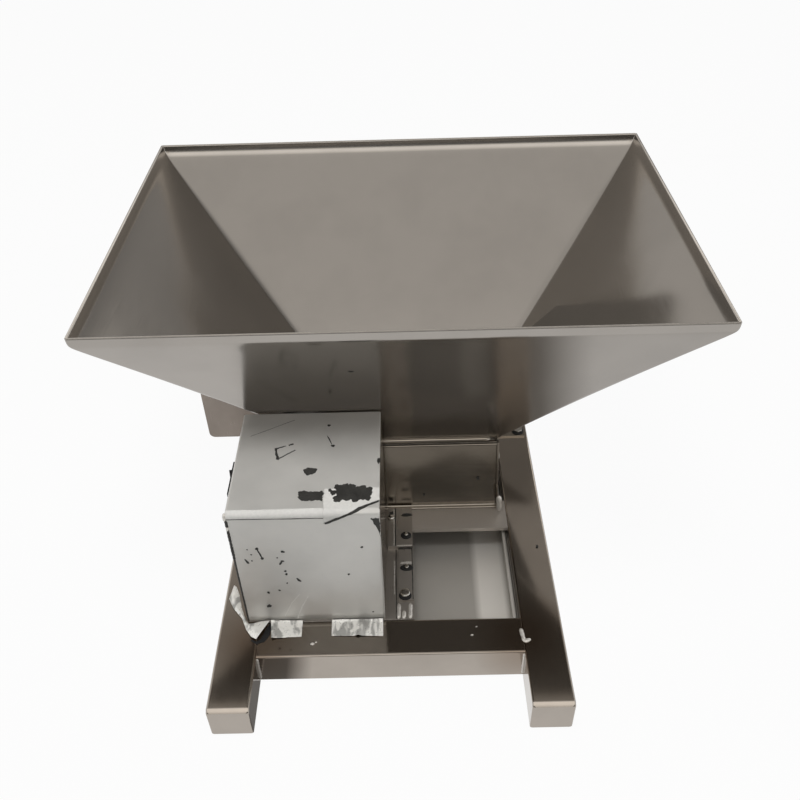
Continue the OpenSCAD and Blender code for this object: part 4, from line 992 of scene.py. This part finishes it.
# A blot: its place across and over, its length and width, and its angle in degrees where it is turned
DARK_BLOTS = (
    (86.8, -109.9, 3.0, 3.6), (88.5, -88.8, 15.0, 1.2, 67.0), (92.2, -80.4, 3.6, 3.6),
    (72.5, -46.6, 11.5, 10.5, 20.0), (40.7, -64.2, 3.4, 3.2), (136.4, -58.6, 3.0, 8.5),
    (100.0, -24.9, 7.0, 8.5), (106.0, -25.2, 8.0, 8.0), (111.6, -25.0, 8.0, 8.0),
    (120.5, -22.2, 10.0, 9.5), (127.7, -19.0, 8.0, 11.0), (126.0, -12.4, 8.0, 9.0),
    (115.9, -11.4, 11.0, 9.0), (108.8, -12.0, 9.0, 8.0), (99.7, -10.4, 8.0, 8.5),
    (95.9, -18.5, 6.0, 6.0), (92.6, -21.4, 3.6, 4.0), (104.7, -18.2, 15.0, 15.0),
    (113.5, -17.9, 15.0, 15.0), (121.2, -15.5, 13.0, 14.0),
    (24.9, 56.3, 17.0, 1.5, 75.0), (23.3, 49.6, 3.6, 3.2, 60.0), (26.6, 63.4, 3.2, 3.4),
    (11.8, 67.4, 7.6, 2.4, 63.0), (17.1, 57.7, 1.7, 1.9), (14.3, 50.5, 1.5, 1.7),
    (16.6, 66.5, 1.6, 1.9), (46.5, 54.4, 4.4, 2.8, 35.0), (40.5, 62.9, 1.6, 1.8),
    (43.1, 70.4, 7.2, 2.0, 123.0), (44.8, 67.8, 3.2, 2.4, 20.0), (45.9, 82.5, 2.4, 2.8),
    (46.4, 87.1, 2.6, 3.2), (45.7, 100.5, 1.7, 1.9), (57.3, 96.2, 7.0, 2.4, 52.0),
    (37.1, 111.3, 2.2, 2.6), (26.1, 114.5, 2.8, 3.4), (24.2, 135.6, 4.4, 5.2, 10.0),
    (119.7, 50.4, 2.6, 2.8), (105.3, 89.2, 2.4, 2.6), (125.8, 148.7, 1.7, 2.4, 20.0),
)
FIRST_BLOT = 30  # seed
FIRST_SPOT = 130  # seed


def make_marks(sizes):
    """Dirty adhesive and torn film on the cover, with a painted highlight in the pale band along the front
    fold and painted shade in the dark line down the front left edge. The dark slit, whose darkness is painted
    shadow along the torn edge, and the pale flap beside it run over the fold; each blot lies a little higher
    than the one before it, so that no two share a level."""
    place = skin_place(sizes)
    dark = [patch(place, *row) for row in DARK_MARK_AND_SHADE_PATCHES]
    for k, row in enumerate(DARK_BLOTS):
        dark.append(blot(place, *row, ragged=0.16, seed=FIRST_BLOT + k, lift=0.12 + 0.004 * k))
    new_piece("adhesive_marks", dark, "filmed_sheet", finish="residue_and_shade", facing=(0.0, -1.0, 1.0))
    pale = [patch(place, *row) for row in PALE_FILM_AND_HIGHLIGHT_PATCHES]
    new_piece("torn_film", pale, "filmed_sheet", finish="torn", facing=(0.0, -1.0, 1.0))


def make_spots(sizes):
    """Small dark spots where dirt has stuck: one on the hopper's front wall, two on the front panel and one
    on the right beam. Each is a blot laid on a flat face by its middle, its level side and its rising
    side."""
    wall_lo, wall_hi = corners("hopper_front_wall")
    panel_lo, panel_hi = corners("front_panel")
    beam_top = corners("right_beam")[1][2]
    spigot, lip = wall_lo[2] + sizes.spigot, wall_hi[2] - sizes.lip
    wall_rise = np.array([0.0, wall_lo[1] - panel_hi[1], lip - spigot])
    panel_rise = np.array([0.0, panel_hi[1] - panel_lo[1] - 5 * MM, panel_hi[2] - panel_lo[2]])
    level = np.array([1.0, 0.0, 0.0])
    clear = 0.7 * MM
    at_wall = np.array([-47.8 * MM, panel_hi[1], spigot]) + 0.755 * wall_rise
    at_panel = np.array([0.0, panel_lo[1] + 3.2 * MM, panel_lo[2]])
    at_beam = np.array([139.4 * MM, -101.3 * MM, beam_top])
    spots = (
        (at_wall, wall_rise, 4.6, 2.6),
        (at_panel + level * 80.0 * MM + 0.44 * panel_rise, panel_rise, 3.4, 3.4),
        (at_panel + level * 19.5 * MM + 0.2 * panel_rise, panel_rise, 2.4, 2.4),
        (at_beam, np.array([0.0, 1.0, 0.0]), 2.6, 4.0),
    )
    grids = []
    for k, (middle, rise, long, wide) in enumerate(spots):
        up = rise / np.linalg.norm(rise)
        out = np.cross(level, up)

        def place(across, over, lift, middle=middle, up=up, out=out):
            return middle + across[..., None] * level + over[..., None] * up + (lift + clear)[..., None] * out

        grids.append(blot(place, 0.0, 0.0, long, wide, 0.0, 0.15, FIRST_SPOT + k))
    new_piece("dirt_spots", grids, "hopper_sheet", finish="residue_and_shade", facing=(0.0, -1.0, 0.6))


# Edges of the foil strip on the left beam and of the painted shadow under its curled end: millimetres across
# and back
STRIP_LEFT = ((-181.8, -144.5), (-184.8, -161.8), (-178.2, -174.3), (-168.5, -185.9), (-164.5, -194.5),
              (-161.9, -200.3), (-156.1, -209.0), (-150.3, -213.3))
STRIP_RIGHT = ((-178.5, -147.6), (-174.3, -157.9), (-170.2, -172.9), (-166.1, -183.6), (-160.8, -192.7),
               (-154.2, -191.8), (-147.7, -190.8), (-138.9, -191.8))
SHADOW_LEFT = ((-139.6, -193.0), (-142.0, -197.0), (-144.6, -204.0), (-147.0, -211.0), (-151.0, -213.0),
            (-155.4, -210.6))
SHADOW_RIGHT = ((-138.2, -193.6), (-137.4, -199.0), (-138.2, -206.0), (-142.6, -213.6), (-150.2, -216.2),
             (-156.4, -212.0))


def make_foil():
    """Coated film at the cover's foot: two tabs on the front tube, and a strip along the left beam whose end
    curls up. A tab is a four cornered grid, the strip is mixed between its two edges; both lie on the tubes'
    tops, lifted by folded waves. A dark sheet of painted shadow lies under the curled end."""
    tube_top = corners("front_cross_tube")[1][2]
    cover_lo = corners("motor_cover")[0]
    u = np.linspace(0.0, 1.0, 60)[None, :]
    v = np.linspace(0.0, 1.0, 30)[:, None]

    def tab(four, fold, height, seed, raised):
        """A tab, by its corners, the distance and height of its creases, its seed and what else raises
        it."""
        flat = four_cornered(np.array(four) * MM, u[..., None], v[..., None])
        lift = height * creases(flat[..., 0], flat[..., 1], fold * MM, seed) + raised
        x, y = cover_lo[0] + flat[..., 0], cover_lo[1] - flat[..., 1]
        return np.stack([x, y, tube_top + (0.3 + lift) * MM], -1)

    near = 1.5 * (1 - v) ** 8
    valley = np.exp(-((u - 0.46 - 0.06 * v) / 0.05) ** 2)
    knob = np.exp(-((u - 0.6) / 0.07) ** 2) * np.sin(math.pi * v)
    flat, along, across = ribbon(STRIP_LEFT, STRIP_RIGHT, 90)
    curl = np.clip((along - 0.62) / 0.38, 0.0, 1.0)
    lift = 0.4 + 1.6 * np.sin(math.pi * across) * np.sin(math.pi * along) + 4.0 * curl ** 2
    lift = lift + 0.9 * creases(flat[..., 0], flat[..., 1], 13.0 * MM, 21)
    grids = [
        tab(((23.0, 0.6), (55.0, 0.6), (54.9, 18.6), (25.5, 20.5)), 9.0,
            2.6 * (1 - u) ** 1.5 + 0.3, 4, near),
        tab(((84.0, 0.6), (135.2, 0.6), (135.4, 20.0), (84.5, 18.6)), 12.0, 0.9, 9,
            near + 2.2 * valley * v + 3.2 * knob),
        np.concatenate([flat, (tube_top + lift * MM)[..., None]], -1),
    ]
    foil = new_piece("foil_tabs", grids, "filmed_sheet", finish="foil", facing=UP)
    thicken(foil, 0.12 * MM, 1.0)
    # Painted shadow under the curled end
    flat = ribbon(SHADOW_LEFT, SHADOW_RIGHT, 60)[0]
    gap = np.concatenate([flat, 0 * flat[..., :1] + tube_top + 0.15 * MM], -1)
    new_piece("foil_gap", [gap], "filmed_sheet", finish="belt_rubber", facing=UP)


# Chamber front and drawer

def make_panel(sizes):
    """The chamber's front panel: a section of foot flange, leaning face and top lip, its corners rounded,
    carried across the throat; the face has shallow hollows, sums of sines that fade at its edges."""
    lo, hi = corners("front_panel")
    t = sizes.sheet
    # The face leans, so its sheet measures more than t level; over the foot the lean takes part of that back
    level, over_foot = 1.03 * t, 0.8 * t
    face_top = np.array([hi[1] - level, hi[2] - t])
    face_foot = np.array([lo[1] + sizes.foot - over_foot, lo[2] + t])
    section = [(lo[1], lo[2] + t), face_foot, face_top, (face_top[0] - sizes.lip, hi[2] - t)]
    path = rounded_path(section, sizes.fold)
    rise = np.linspace(0.0, 1.0, 18)[1:-1, None]
    longest = int(np.argmax(np.diff(run_along(path))))
    face = path[longest] + rise * (path[longest + 1] - path[longest])
    path = np.concatenate([path[:longest + 1], face, path[longest + 1:]])
    run = run_along(path)
    v = (run / run[-1])[:, None]
    u = np.concatenate([[0.0, 0.002], np.linspace(0.02, 0.98, 49), [0.998, 1.0]])[None, :]
    fade = np.sin(math.pi * u) * np.clip(np.sin(math.pi * v) - 0.25, 0.0, 1.0)
    hollow = sizes.dent * fade * (np.sin(7.0 * u + 3.0 * v) + 0.6 * np.sin(13.0 * u - 5.0 * v + 1.0))
    x = lo[0] + u * (hi[0] - lo[0])
    grid = grid_of(x, path[:, :1] + hollow, path[:, 1:])
    panel = new_piece("front_panel_skin", [grid], "chamber_sheet", ("front_panel",), facing=(0.0, -1.0, 0.5))
    thicken(panel, t, -1.0)


def make_drawer(sizes):
    """The crumb drawer: a rounded rectangle carried from the middle of the underside out to the sides, up,
    over the folded hem, down the inside and back over the floor to its middle."""
    lo, hi = corners("crumb_tray")
    t = sizes.sheet
    bottom, top = lo[2], hi[2]
    reach, nick = 40 * MM, 0.4 * MM
    tuck = t + sizes.hem
    out = rounded_path([(reach, bottom), (0.0, bottom), (0.0, top), (tuck, top)], sizes.bend)
    under = np.array([(tuck, top - t), (t + nick, top - t), (t, top - t - nick)])
    floor = rounded_path([(t, top - t - 1 * MM), (t, bottom + t), (reach, bottom + t)], sizes.bend * 0.7)
    section = np.concatenate([out, under, floor])
    inset, height = section[:, 0], section[:, 1]
    spread = np.array([0.0, 0.4, 0.8])

    def closed(bound, centre):
        """A bound that comes out from the centre and goes back to it."""
        first, last = centre + (bound[0] - centre) * spread, centre + (bound[-1] - centre) * spread[::-1]
        return np.concatenate([first, bound, last])

    bounds = []
    for low, high in ((lo[0], hi[0]), (lo[1], hi[1])):
        centre = (low + high) / 2
        bounds += [closed(low + inset, centre), closed(high - inset, centre)]
    height = np.concatenate([0 * spread + bottom, height, 0 * spread + bottom + t])
    radius = np.concatenate([0 * spread, np.maximum(sizes.corner - inset, 0.4 * MM), 0 * spread])
    grid = ring_surface(even_ring(), *bounds, radius, height)
    new_piece("crumb_drawer_skin", [grid], "drawer_sheet", ("crumb_tray",), "drawer")


# Fittings

EDGED = (
    "middle_cross_bar", "rear_cross_bar", "motor_base_plate", "mounting_rail", "clamp_plate", "stop_plate",
    "hopper_bolts", "left_side_plate", "right_side_plate", "rear_panel", "foot_bolts", "drum_shaft",
    "toothed_discs", "spacer_rings", "left_bearing_hub", "right_bearing_hub", "hub_bolts", "drum_pulley",
    "motor_pulley", "belt_guard", "control_box", "control_box_lid", "cable_gland", "switch_housing",
    "switch_rocker", "tray_pull", "left_runner", "right_runner", "motor_bolts",
)
LENGTHWISE = (
    "motor_base_plate", "mounting_rail", "clamp_plate", "stop_plate", "left_runner", "right_runner",
)
FLAT = math.radians(0.4)  # triangles that lean less than this to each other are joined
SHARP = math.radians(35.0)  # edges that turn by more than this are broken


def make_fittings(sizes):
    """Plates, bolts, castings and moulded parts: each is a copy of a CAD node's mesh with its doubles
    merged, its flat triangles joined and a live bevel on its edges."""
    for node in EDGED:
        source = NODES[node]
        name = node + "_edged"
        mesh = source.data.copy()
        mesh.name = name
        work = bmesh.new()
        work.from_mesh(mesh)
        bmesh.ops.remove_doubles(work, verts=work.verts, dist=MERGE)
        bmesh.ops.dissolve_limit(work, angle_limit=FLAT, verts=work.verts, edges=work.edges)
        work.to_mesh(mesh)
        work.free()
        if "custom_normal" in mesh.attributes:
            mesh.attributes.remove(mesh.attributes["custom_normal"])
        finish = "rail_steel" if node in LENGTHWISE else SLOTS[node]
        piece = dress(name, mesh, finish, body_of(source)[0], SLOTS[node], (node,))
        bevel = piece.modifiers.new("Broken edges", "BEVEL")
        bevel.width = sizes.edge
        bevel.segments = 2
        bevel.limit_method = "ANGLE"
        bevel.angle_limit = SHARP
        bevel.harden_normals = True


def finish_rest():
    """Gives every CAD node the finish of its slot, which shows where no piece replaces the node."""
    for node, piece in NODES.items():
        piece.data.materials.clear()
        piece.data.materials.append(finish_of(SLOTS[node]))


# Stage

WHITE = (1.0, 1.0, 1.0, 1.0)


def make_stage(sizes):
    """A pale floor, a white surround, the canopy and sheets of painted shade that only reflections show, two
    soft lamps and the camera.
    """
    bpy.context.scene.view_settings.view_transform = "Standard"
    make_camera(sizes)
    make_floor(tuple(sizes.floor))
    make_canopy()
    hang_shades()
    make_surround(sizes.ambient)
    lamp("key_light", (-0.15, -0.32, 2.6), 1.0, sizes.key)
    lamp("fill_light", (1.3, -1.5, 1.1), 1.4, sizes.fill)


def stage_sheet(name, grid, material):
    """A sheet of the stage, from a grid of points."""
    mesh = bpy.data.meshes.new(name)
    mesh.from_pydata(grid.reshape(-1, 3), [], grid_faces(*grid.shape[:2]))
    mesh.materials.append(material)
    sheet = bpy.data.objects.new(name, mesh)
    bpy.context.scene.collection.objects.link(sheet)
    sheet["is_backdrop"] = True
    return sheet


def cloth(name, grid, material, glow, tint, alpha=1.0):
    """A stage sheet that shows in reflections alone, for the canopy and for the painted shade: it leaves
    lamps and shadows as they are.
    """
    tree = material.node_tree
    connect(tree, tree.nodes["Principled BSDF"], {
        "Base Color": linear("#0a0a0a"), "Roughness": 1.0, "Alpha": alpha,
        "Emission Strength": glow, "Emission Color": linear(tint)})
    hung = stage_sheet(name, grid, material)
    hung.visible_camera = False
    hung.visible_diffuse = False
    hung.visible_transmission = False
    hung.visible_shadow = False


def make_canopy():
    """The canopy sets what the steel mirrors far away. It is a rounded arch carried across, open at both
    sides: dim on the floor and low in front, bright higher in front, softer above, and at the back with a
    bright band that lights the hopper's rim."""
    arch = rounded_path([(3.4, 0.45), (2.8, 2.8), (-2.8, 2.8), (-3.4, 0.004), (-0.9, 0.004)], 0.9, steps=12)
    x = np.linspace(-3.2, 3.2, 21)[None, :]
    material, tree, _, place = new_material("dim_woven_cloth")
    at = add(tree, "SeparateXYZ", {0: place}).node.outputs
    above_light, band_light = 0.85, 1.9
    # Each ramp: its axis, where it starts and ends in metres, and its values there
    ramps = {
        "front": (2, 1.2, 1.7, 0.2, 1.8),
        "inwards": (1, -2.7, -1.9, 0.0, 1.0),
        "raised": (2, 0.5, 1.5, 0.0, 1.0),
        "behind": (0, -2.0, 2.0, 0.75, 0.33),
        "band_foot": (2, 1.7, 1.9, 0.0, 1.0),
        "band_top": (2, 2.65, 2.5, 0.0, 1.0),
        "back": (1, -0.6, 1.5, 0.0, 1.0),
    }
    ramp = {name: add(tree, "MapRange", {0: at[axis], 1: start, 2: end, 3: low, 4: high})
            for name, (axis, start, end, low, high) in ramps.items()}
    over = add(tree, "Math", {0: ramp["inwards"], 1: ramp["raised"]}, operation="MULTIPLY")
    front = add(tree, "Mix", {0: over, 2: ramp["front"], 3: above_light})
    band = add(tree, "Math", {0: ramp["band_foot"], 1: ramp["band_top"]}, operation="MULTIPLY")
    behind = add(tree, "Mix", {0: band, 2: ramp["behind"], 3: band_light})
    light = add(tree, "Mix", {0: ramp["back"], 2: front, 3: behind})
    grid = grid_of(x, arch[:, :1], arch[:, 1:])
    cloth("canopy", grid, material, light, "#f3f0ec")


def hang_shades():
    """Sheets of painted shade near the machine: each darkens what one face mirrors, standing in for shadow on
    the floor and shade round the parts, and shows in nothing else. A row gives the bounds across, along and
    up, of which one pair is level, the glow, and the share of cover: even, or fading between two places
    across."""
    tube_lo, tube_hi = corners("front_cross_tube")
    cover_lo, cover_hi = corners("motor_cover")
    wall_lo, wall_hi = corners("hopper_front_wall")
    panel_hi = corners("front_panel")[1]
    side = corners("right_beam")[1][0]
    left = tube_lo[0]
    rail, tray = corners("mounting_rail")[1][0], corners("crumb_tray")[1][0]
    bay_back = corners("middle_cross_bar")[1][1]
    low, gap = 0.6 * MM, 4 * MM
    rows, columns = np.linspace(0.0, 1.0, 8)[:, None], np.linspace(0.0, 1.0, 12)[None, :]
    even = (-1.0, 1.0)
    cover_x, cover_z = (cover_lo[0], cover_hi[0]), (cover_lo[2] + gap, cover_hi[2] + gap)
    # Each row is painted shade seen only in reflections: shadow on the floor beside the right beam and in
    # front of the front tube, and shade over the bay, round the cover, in front of the panel and behind the
    # right beam
    shades = (
        ("right_shade", (side, side + 0.4), (-0.27, 0.4), (low, low), 0.2,
         (side + 18 * MM, side + 85 * MM), (0.95, 0.14)),
        ("left_shade", (left, left + 0.06), (-0.3, tube_lo[1]), (low, low), 0.08,
         (left + 24 * MM, left + 50 * MM), (0.86, 0.0)),
        ("bay_shade", (rail + 1 * MM, tray), (tube_hi[1] + 2 * MM, bay_back), (46 * MM, 46 * MM), 0.08,
         even, (0.72, 0.72)),
        ("cover_shade", cover_x, (cover_lo[1] + 6 * MM, cover_hi[1]), cover_z[1:] * 2, 0.08,
         even, (0.58, 0.58)),
        ("face_shade", cover_x, (cover_lo[1] - gap, cover_lo[1] - gap), cover_z, 0.08, even, (0.5, 0.5)),
        ("far_shade", (panel_hi[0] + gap, panel_hi[0] + gap + 72 * MM), (112 * MM, 112 * MM),
         (tube_hi[2] + gap, wall_hi[2] + gap), 0.2, even, (1.0, 1.0)),
        ("panel_shade", (side, cover_hi[0]), (tube_lo[1] + 14 * MM, tube_lo[1] + 14 * MM),
         (tube_hi[2] + 2 * MM, tube_hi[2] + 77 * MM), 0.3, even, (0.9, 0.9)),
    )
    for name, *bounds, glow, fade, share in shades:
        steps = zip(bounds, (columns, rows, rows))
        grid = [start + (end - start) * step for (start, end), step in steps]
        hang_painted_shade(name, grid_of(*grid), glow, fade, share)
    # The last one, painted shade too, leans along the hopper's front right corner and narrows upwards
    rise = -0.1 + 0.43 * rows
    spare = (-4 + columns * (45 - 43 * rows)) * MM
    x = panel_hi[0] + rise * (wall_hi[0] - panel_hi[0]) + spare
    y = panel_hi[1] + rise * (wall_lo[1] - panel_hi[1])
    z = wall_lo[2] + 10 * MM + rise * (wall_hi[2] - wall_lo[2] - 19 * MM)
    hang_painted_shade("corner_shade", grid_of(x, y, z), 0.1, even, (1.0, 1.0))


def hang_painted_shade(name, grid, glow, fade, share):
    """A sheet of painted shade that only reflections show, from its outer side alone: its share of cover runs
    from the first to the second value between the two places across of fade."""
    material, tree, _, place = new_material("sheer_woven_cloth")
    across = add(tree, "SeparateXYZ", {0: place})
    cover = add(tree, "MapRange", {0: across, 1: fade[0], 2: fade[1], 3: share[0], 4: share[1]})
    behind = add(tree, "NewGeometry", out="Backfacing")
    outer = add(tree, "Math", {0: 1.0, 1: behind}, operation="SUBTRACT")
    clear = add(tree, "Math", {0: cover, 1: outer}, operation="MULTIPLY")
    cloth(name, grid, material, glow, "#f6eee4", clear)


def make_camera(sizes):
    """The camera at the photo's place: its view is turned by yaw and pitch, then rolled about its axis."""
    cp, sp = math.cos(sizes.pitch), math.sin(sizes.pitch)
    cy, sy = math.cos(sizes.yaw), math.sin(sizes.yaw)
    cr, sr = math.cos(sizes.roll), math.sin(sizes.roll)
    ahead = np.array([sy * cp, cy * cp, -sp])
    right = np.array([cy, -sy, 0.0])
    down = np.cross(ahead, right)
    right, down = cr * right + sr * down, cr * down - sr * right
    data = bpy.data.cameras.new("photo_camera")
    data.sensor_width = SENSOR
    data.lens = sizes.focal / PHOTO_SIDE * SENSOR
    data.clip_start = 0.01
    camera = bpy.data.objects.new("photo_camera", data)
    turned = np.eye(4)
    turned[:3] = np.stack([right, -down, -ahead, sizes.place], -1)
    camera.matrix_world = Matrix(turned.tolist())
    bpy.context.scene.collection.objects.link(camera)
    bpy.context.scene.camera = camera


def seen_rays(tree):
    """1 for what the camera sees itself, in a reflection or through glass, and 0 for scattered light."""
    path = add(tree, "LightPath").node.outputs
    glossy, glass = path["Is Glossy Ray"], path["Is Transmission Ray"]
    mirror = add(tree, "Math", {0: glossy, 1: glass}, operation="MAXIMUM")
    return add(tree, "Math", {0: path["Is Camera Ray"], 1: mirror}, operation="MAXIMUM")


def make_floor(colour):
    """A wide floor: a flat grid just under the feet, mostly white to the eye, that still takes shadows. The
    grain of its paint is drawn 300 mm coarse, so that it shows as faint clouds."""
    span = np.linspace(-6.0, 6.0, 25)
    x, y = np.meshgrid(span, span)
    whiteness, under_feet = 0.95, 0.2 * MM
    material, tree, shader, place = new_material("white_painted_board")
    grain = add(tree, "TexNoise", {"Vector": place, "Scale": per_size(300.0)})
    body = add(tree, "Mix", {0: grain, 6: shade(colour, 0.98), 7: colour}, 2, data_type="RGBA")
    connect(tree, shader, {"Base Color": body, "Roughness": 0.9, "Specular IOR Level": 0.1})
    glow = add(tree, "Emission", {"Color": WHITE, "Strength": 1.0})
    white = add(tree, "Math", {0: seen_rays(tree), 1: whiteness}, operation="MULTIPLY")
    mixed = add(tree, "MixShader", {0: white, 1: shader.outputs[0], 2: glow})
    connect(tree, tree.nodes["Material Output"], {"Surface": mixed})
    stage_sheet("floor", np.stack([x, y, 0 * x - under_feet], -1), material)


def make_surround(ambient):
    """The world: white where it is seen or mirrored, an even soft light for everything else."""
    world = bpy.data.worlds.new("white_surround")
    world.use_nodes = True
    tree = world.node_tree
    strength = add(tree, "MapRange", {0: seen_rays(tree), 1: 0.0, 2: 1.0, 3: ambient, 4: 1.0})
    connect(tree, tree.nodes["Background"], {"Color": WHITE, "Strength": strength})
    bpy.context.scene.world = world


def lamp(name, place, width, power):
    """A square soft lamp that faces the middle of the object."""
    data = bpy.data.lights.new(name, "AREA")
    data.size = width
    data.energy = power
    lit = bpy.data.objects.new(name, data)
    middle = (CAD_BOX[0] + CAD_BOX[1]) / 2
    lit.location = place
    lit.rotation_euler = (middle - Vector(place)).to_track_quat("-Z", "Y").to_euler()
    lit.visible_glossy = False
    bpy.context.scene.collection.objects.link(lit)


# Add-on

class CRUMB_OT_stage(bpy.types.Operator):
    """Sets up the camera, the floor, the surround, the canopy, the sheets of painted shade in reflections and
    the lamps
    """
    bl_idname = "crumb.stage"
    bl_label = "Stage"

    def execute(self, context):
        make_stage(context.scene.crumb_stage)
        return {"FINISHED"}


class CRUMB_OT_hopper(bpy.types.Operator):
    """Makes the hopper's folded sheet"""
    bl_idname = "crumb.hopper"
    bl_label = "Hopper"

    def execute(self, context):
        make_hopper(context.scene.crumb_hopper)
        return {"FINISHED"}


class CRUMB_OT_tubes(bpy.types.Operator):
    """Makes the square tubes of the base and their end caps"""
    bl_idname = "crumb.tubes"
    bl_label = "Tubes"

    def execute(self, context):
        make_tubes(context.scene.crumb_base)
        return {"FINISHED"}


class CRUMB_OT_welds(bpy.types.Operator):
    """Lays the weld beads of the base and the throat"""
    bl_idname = "crumb.welds"
    bl_label = "Welds"

    def execute(self, context):
        make_welds(context.scene.crumb_base)
        return {"FINISHED"}


class CRUMB_OT_rail(bpy.types.Operator):
    """Makes the rail's bolts, the rings of painted shade under them, painted shade in its gaps and painted
    highlights on its edges
    """
    bl_idname = "crumb.rail"
    bl_label = "Rail bolts"

    def execute(self, context):
        make_rail_bolts()
        return {"FINISHED"}


class CRUMB_OT_cover(bpy.types.Operator):
    """Makes the motor cover under its film"""
    bl_idname = "crumb.cover"
    bl_label = "Motor cover"

    def execute(self, context):
        make_cover(context.scene.crumb_cover)
        return {"FINISHED"}


class CRUMB_OT_marks(bpy.types.Operator):
    """Lays torn film and old adhesive on the motor cover, with a painted highlight on its fold and painted
    shade down its front left edge
    """
    bl_idname = "crumb.marks"
    bl_label = "Film and marks"

    def execute(self, context):
        make_marks(context.scene.crumb_cover)
        return {"FINISHED"}


class CRUMB_OT_spots(bpy.types.Operator):
    """Lays a few spots of dirt on the bare steel"""
    bl_idname = "crumb.spots"
    bl_label = "Spots"

    def execute(self, context):
        make_spots(context.scene.crumb_hopper)
        return {"FINISHED"}


class CRUMB_OT_foil(bpy.types.Operator):
    """Lays crumpled foil at the motor cover's foot"""
    bl_idname = "crumb.foil"
    bl_label = "Foil"

    def execute(self, context):
        make_foil()
        return {"FINISHED"}


class CRUMB_OT_panel(bpy.types.Operator):
    """Makes the chamber's front panel"""
    bl_idname = "crumb.panel"
    bl_label = "Front panel"

    def execute(self, context):
        make_panel(context.scene.crumb_chamber)
        return {"FINISHED"}


class CRUMB_OT_drawer(bpy.types.Operator):
    """Makes the crumb drawer"""
    bl_idname = "crumb.drawer"
    bl_label = "Drawer"

    def execute(self, context):
        make_drawer(context.scene.crumb_drawer)
        return {"FINISHED"}


class CRUMB_OT_fittings(bpy.types.Operator):
    """Breaks the edges of plates, bolts, castings and moulded parts"""
    bl_idname = "crumb.fittings"
    bl_label = "Fittings"

    def execute(self, context):
        make_fittings(context.scene.crumb_fittings)
        return {"FINISHED"}


class CRUMB_OT_finishes(bpy.types.Operator):
    """Gives the parts inside the machine their finishes"""
    bl_idname = "crumb.finishes"
    bl_label = "Finishes"

    def execute(self, context):
        finish_rest()
        return {"FINISHED"}


OPERATORS = (
    CRUMB_OT_stage, CRUMB_OT_hopper, CRUMB_OT_tubes, CRUMB_OT_welds, CRUMB_OT_rail, CRUMB_OT_cover,
    CRUMB_OT_marks, CRUMB_OT_spots, CRUMB_OT_foil, CRUMB_OT_panel, CRUMB_OT_drawer, CRUMB_OT_fittings,
    CRUMB_OT_finishes,
)
SETTINGS = {
    "crumb_hopper": HopperSettings, "crumb_base": BaseSettings, "crumb_cover": CoverSettings,
    "crumb_chamber": ChamberSettings, "crumb_drawer": DrawerSettings, "crumb_fittings": FittingSettings,
    "crumb_stage": StageSettings,
}


class CRUMB_PT_machine(bpy.types.Panel):
    """Lists the steps that build the machine's looks"""
    bl_idname = "CRUMB_PT_machine"
    bl_label = "Crumb Machine"
    bl_space_type = "VIEW_3D"
    bl_region_type = "UI"
    bl_category = "Crumb Machine"

    def draw(self, context):
        for operator in OPERATORS:
            self.layout.operator(operator.bl_idname)


def register():
    """Registers the settings, the steps and the panel."""
    for group in SETTINGS.values():
        bpy.utils.register_class(group)
    for name, group in SETTINGS.items():
        setattr(bpy.types.Scene, name, bpy.props.PointerProperty(type=group))
    for operator in OPERATORS:
        bpy.utils.register_class(operator)
    bpy.utils.register_class(CRUMB_PT_machine)


def unregister():
    """Takes the panel, the steps and the settings off again."""
    bpy.utils.unregister_class(CRUMB_PT_machine)
    for operator in reversed(OPERATORS):
        bpy.utils.unregister_class(operator)
    for name in SETTINGS:
        delattr(bpy.types.Scene, name)
    for group in SETTINGS.values():
        bpy.utils.unregister_class(group)


def main():
    """Registers the add-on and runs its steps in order."""
    register()
    for operator in OPERATORS:
        getattr(bpy.ops.crumb, operator.bl_idname.split(".")[1])()
    boxes = {"cad": CAD_BOX, "visual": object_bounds()}
    {name: [list(lo), list(hi)] for name, (lo, hi) in boxes.items()}


if __name__ == "__main__":
    main()
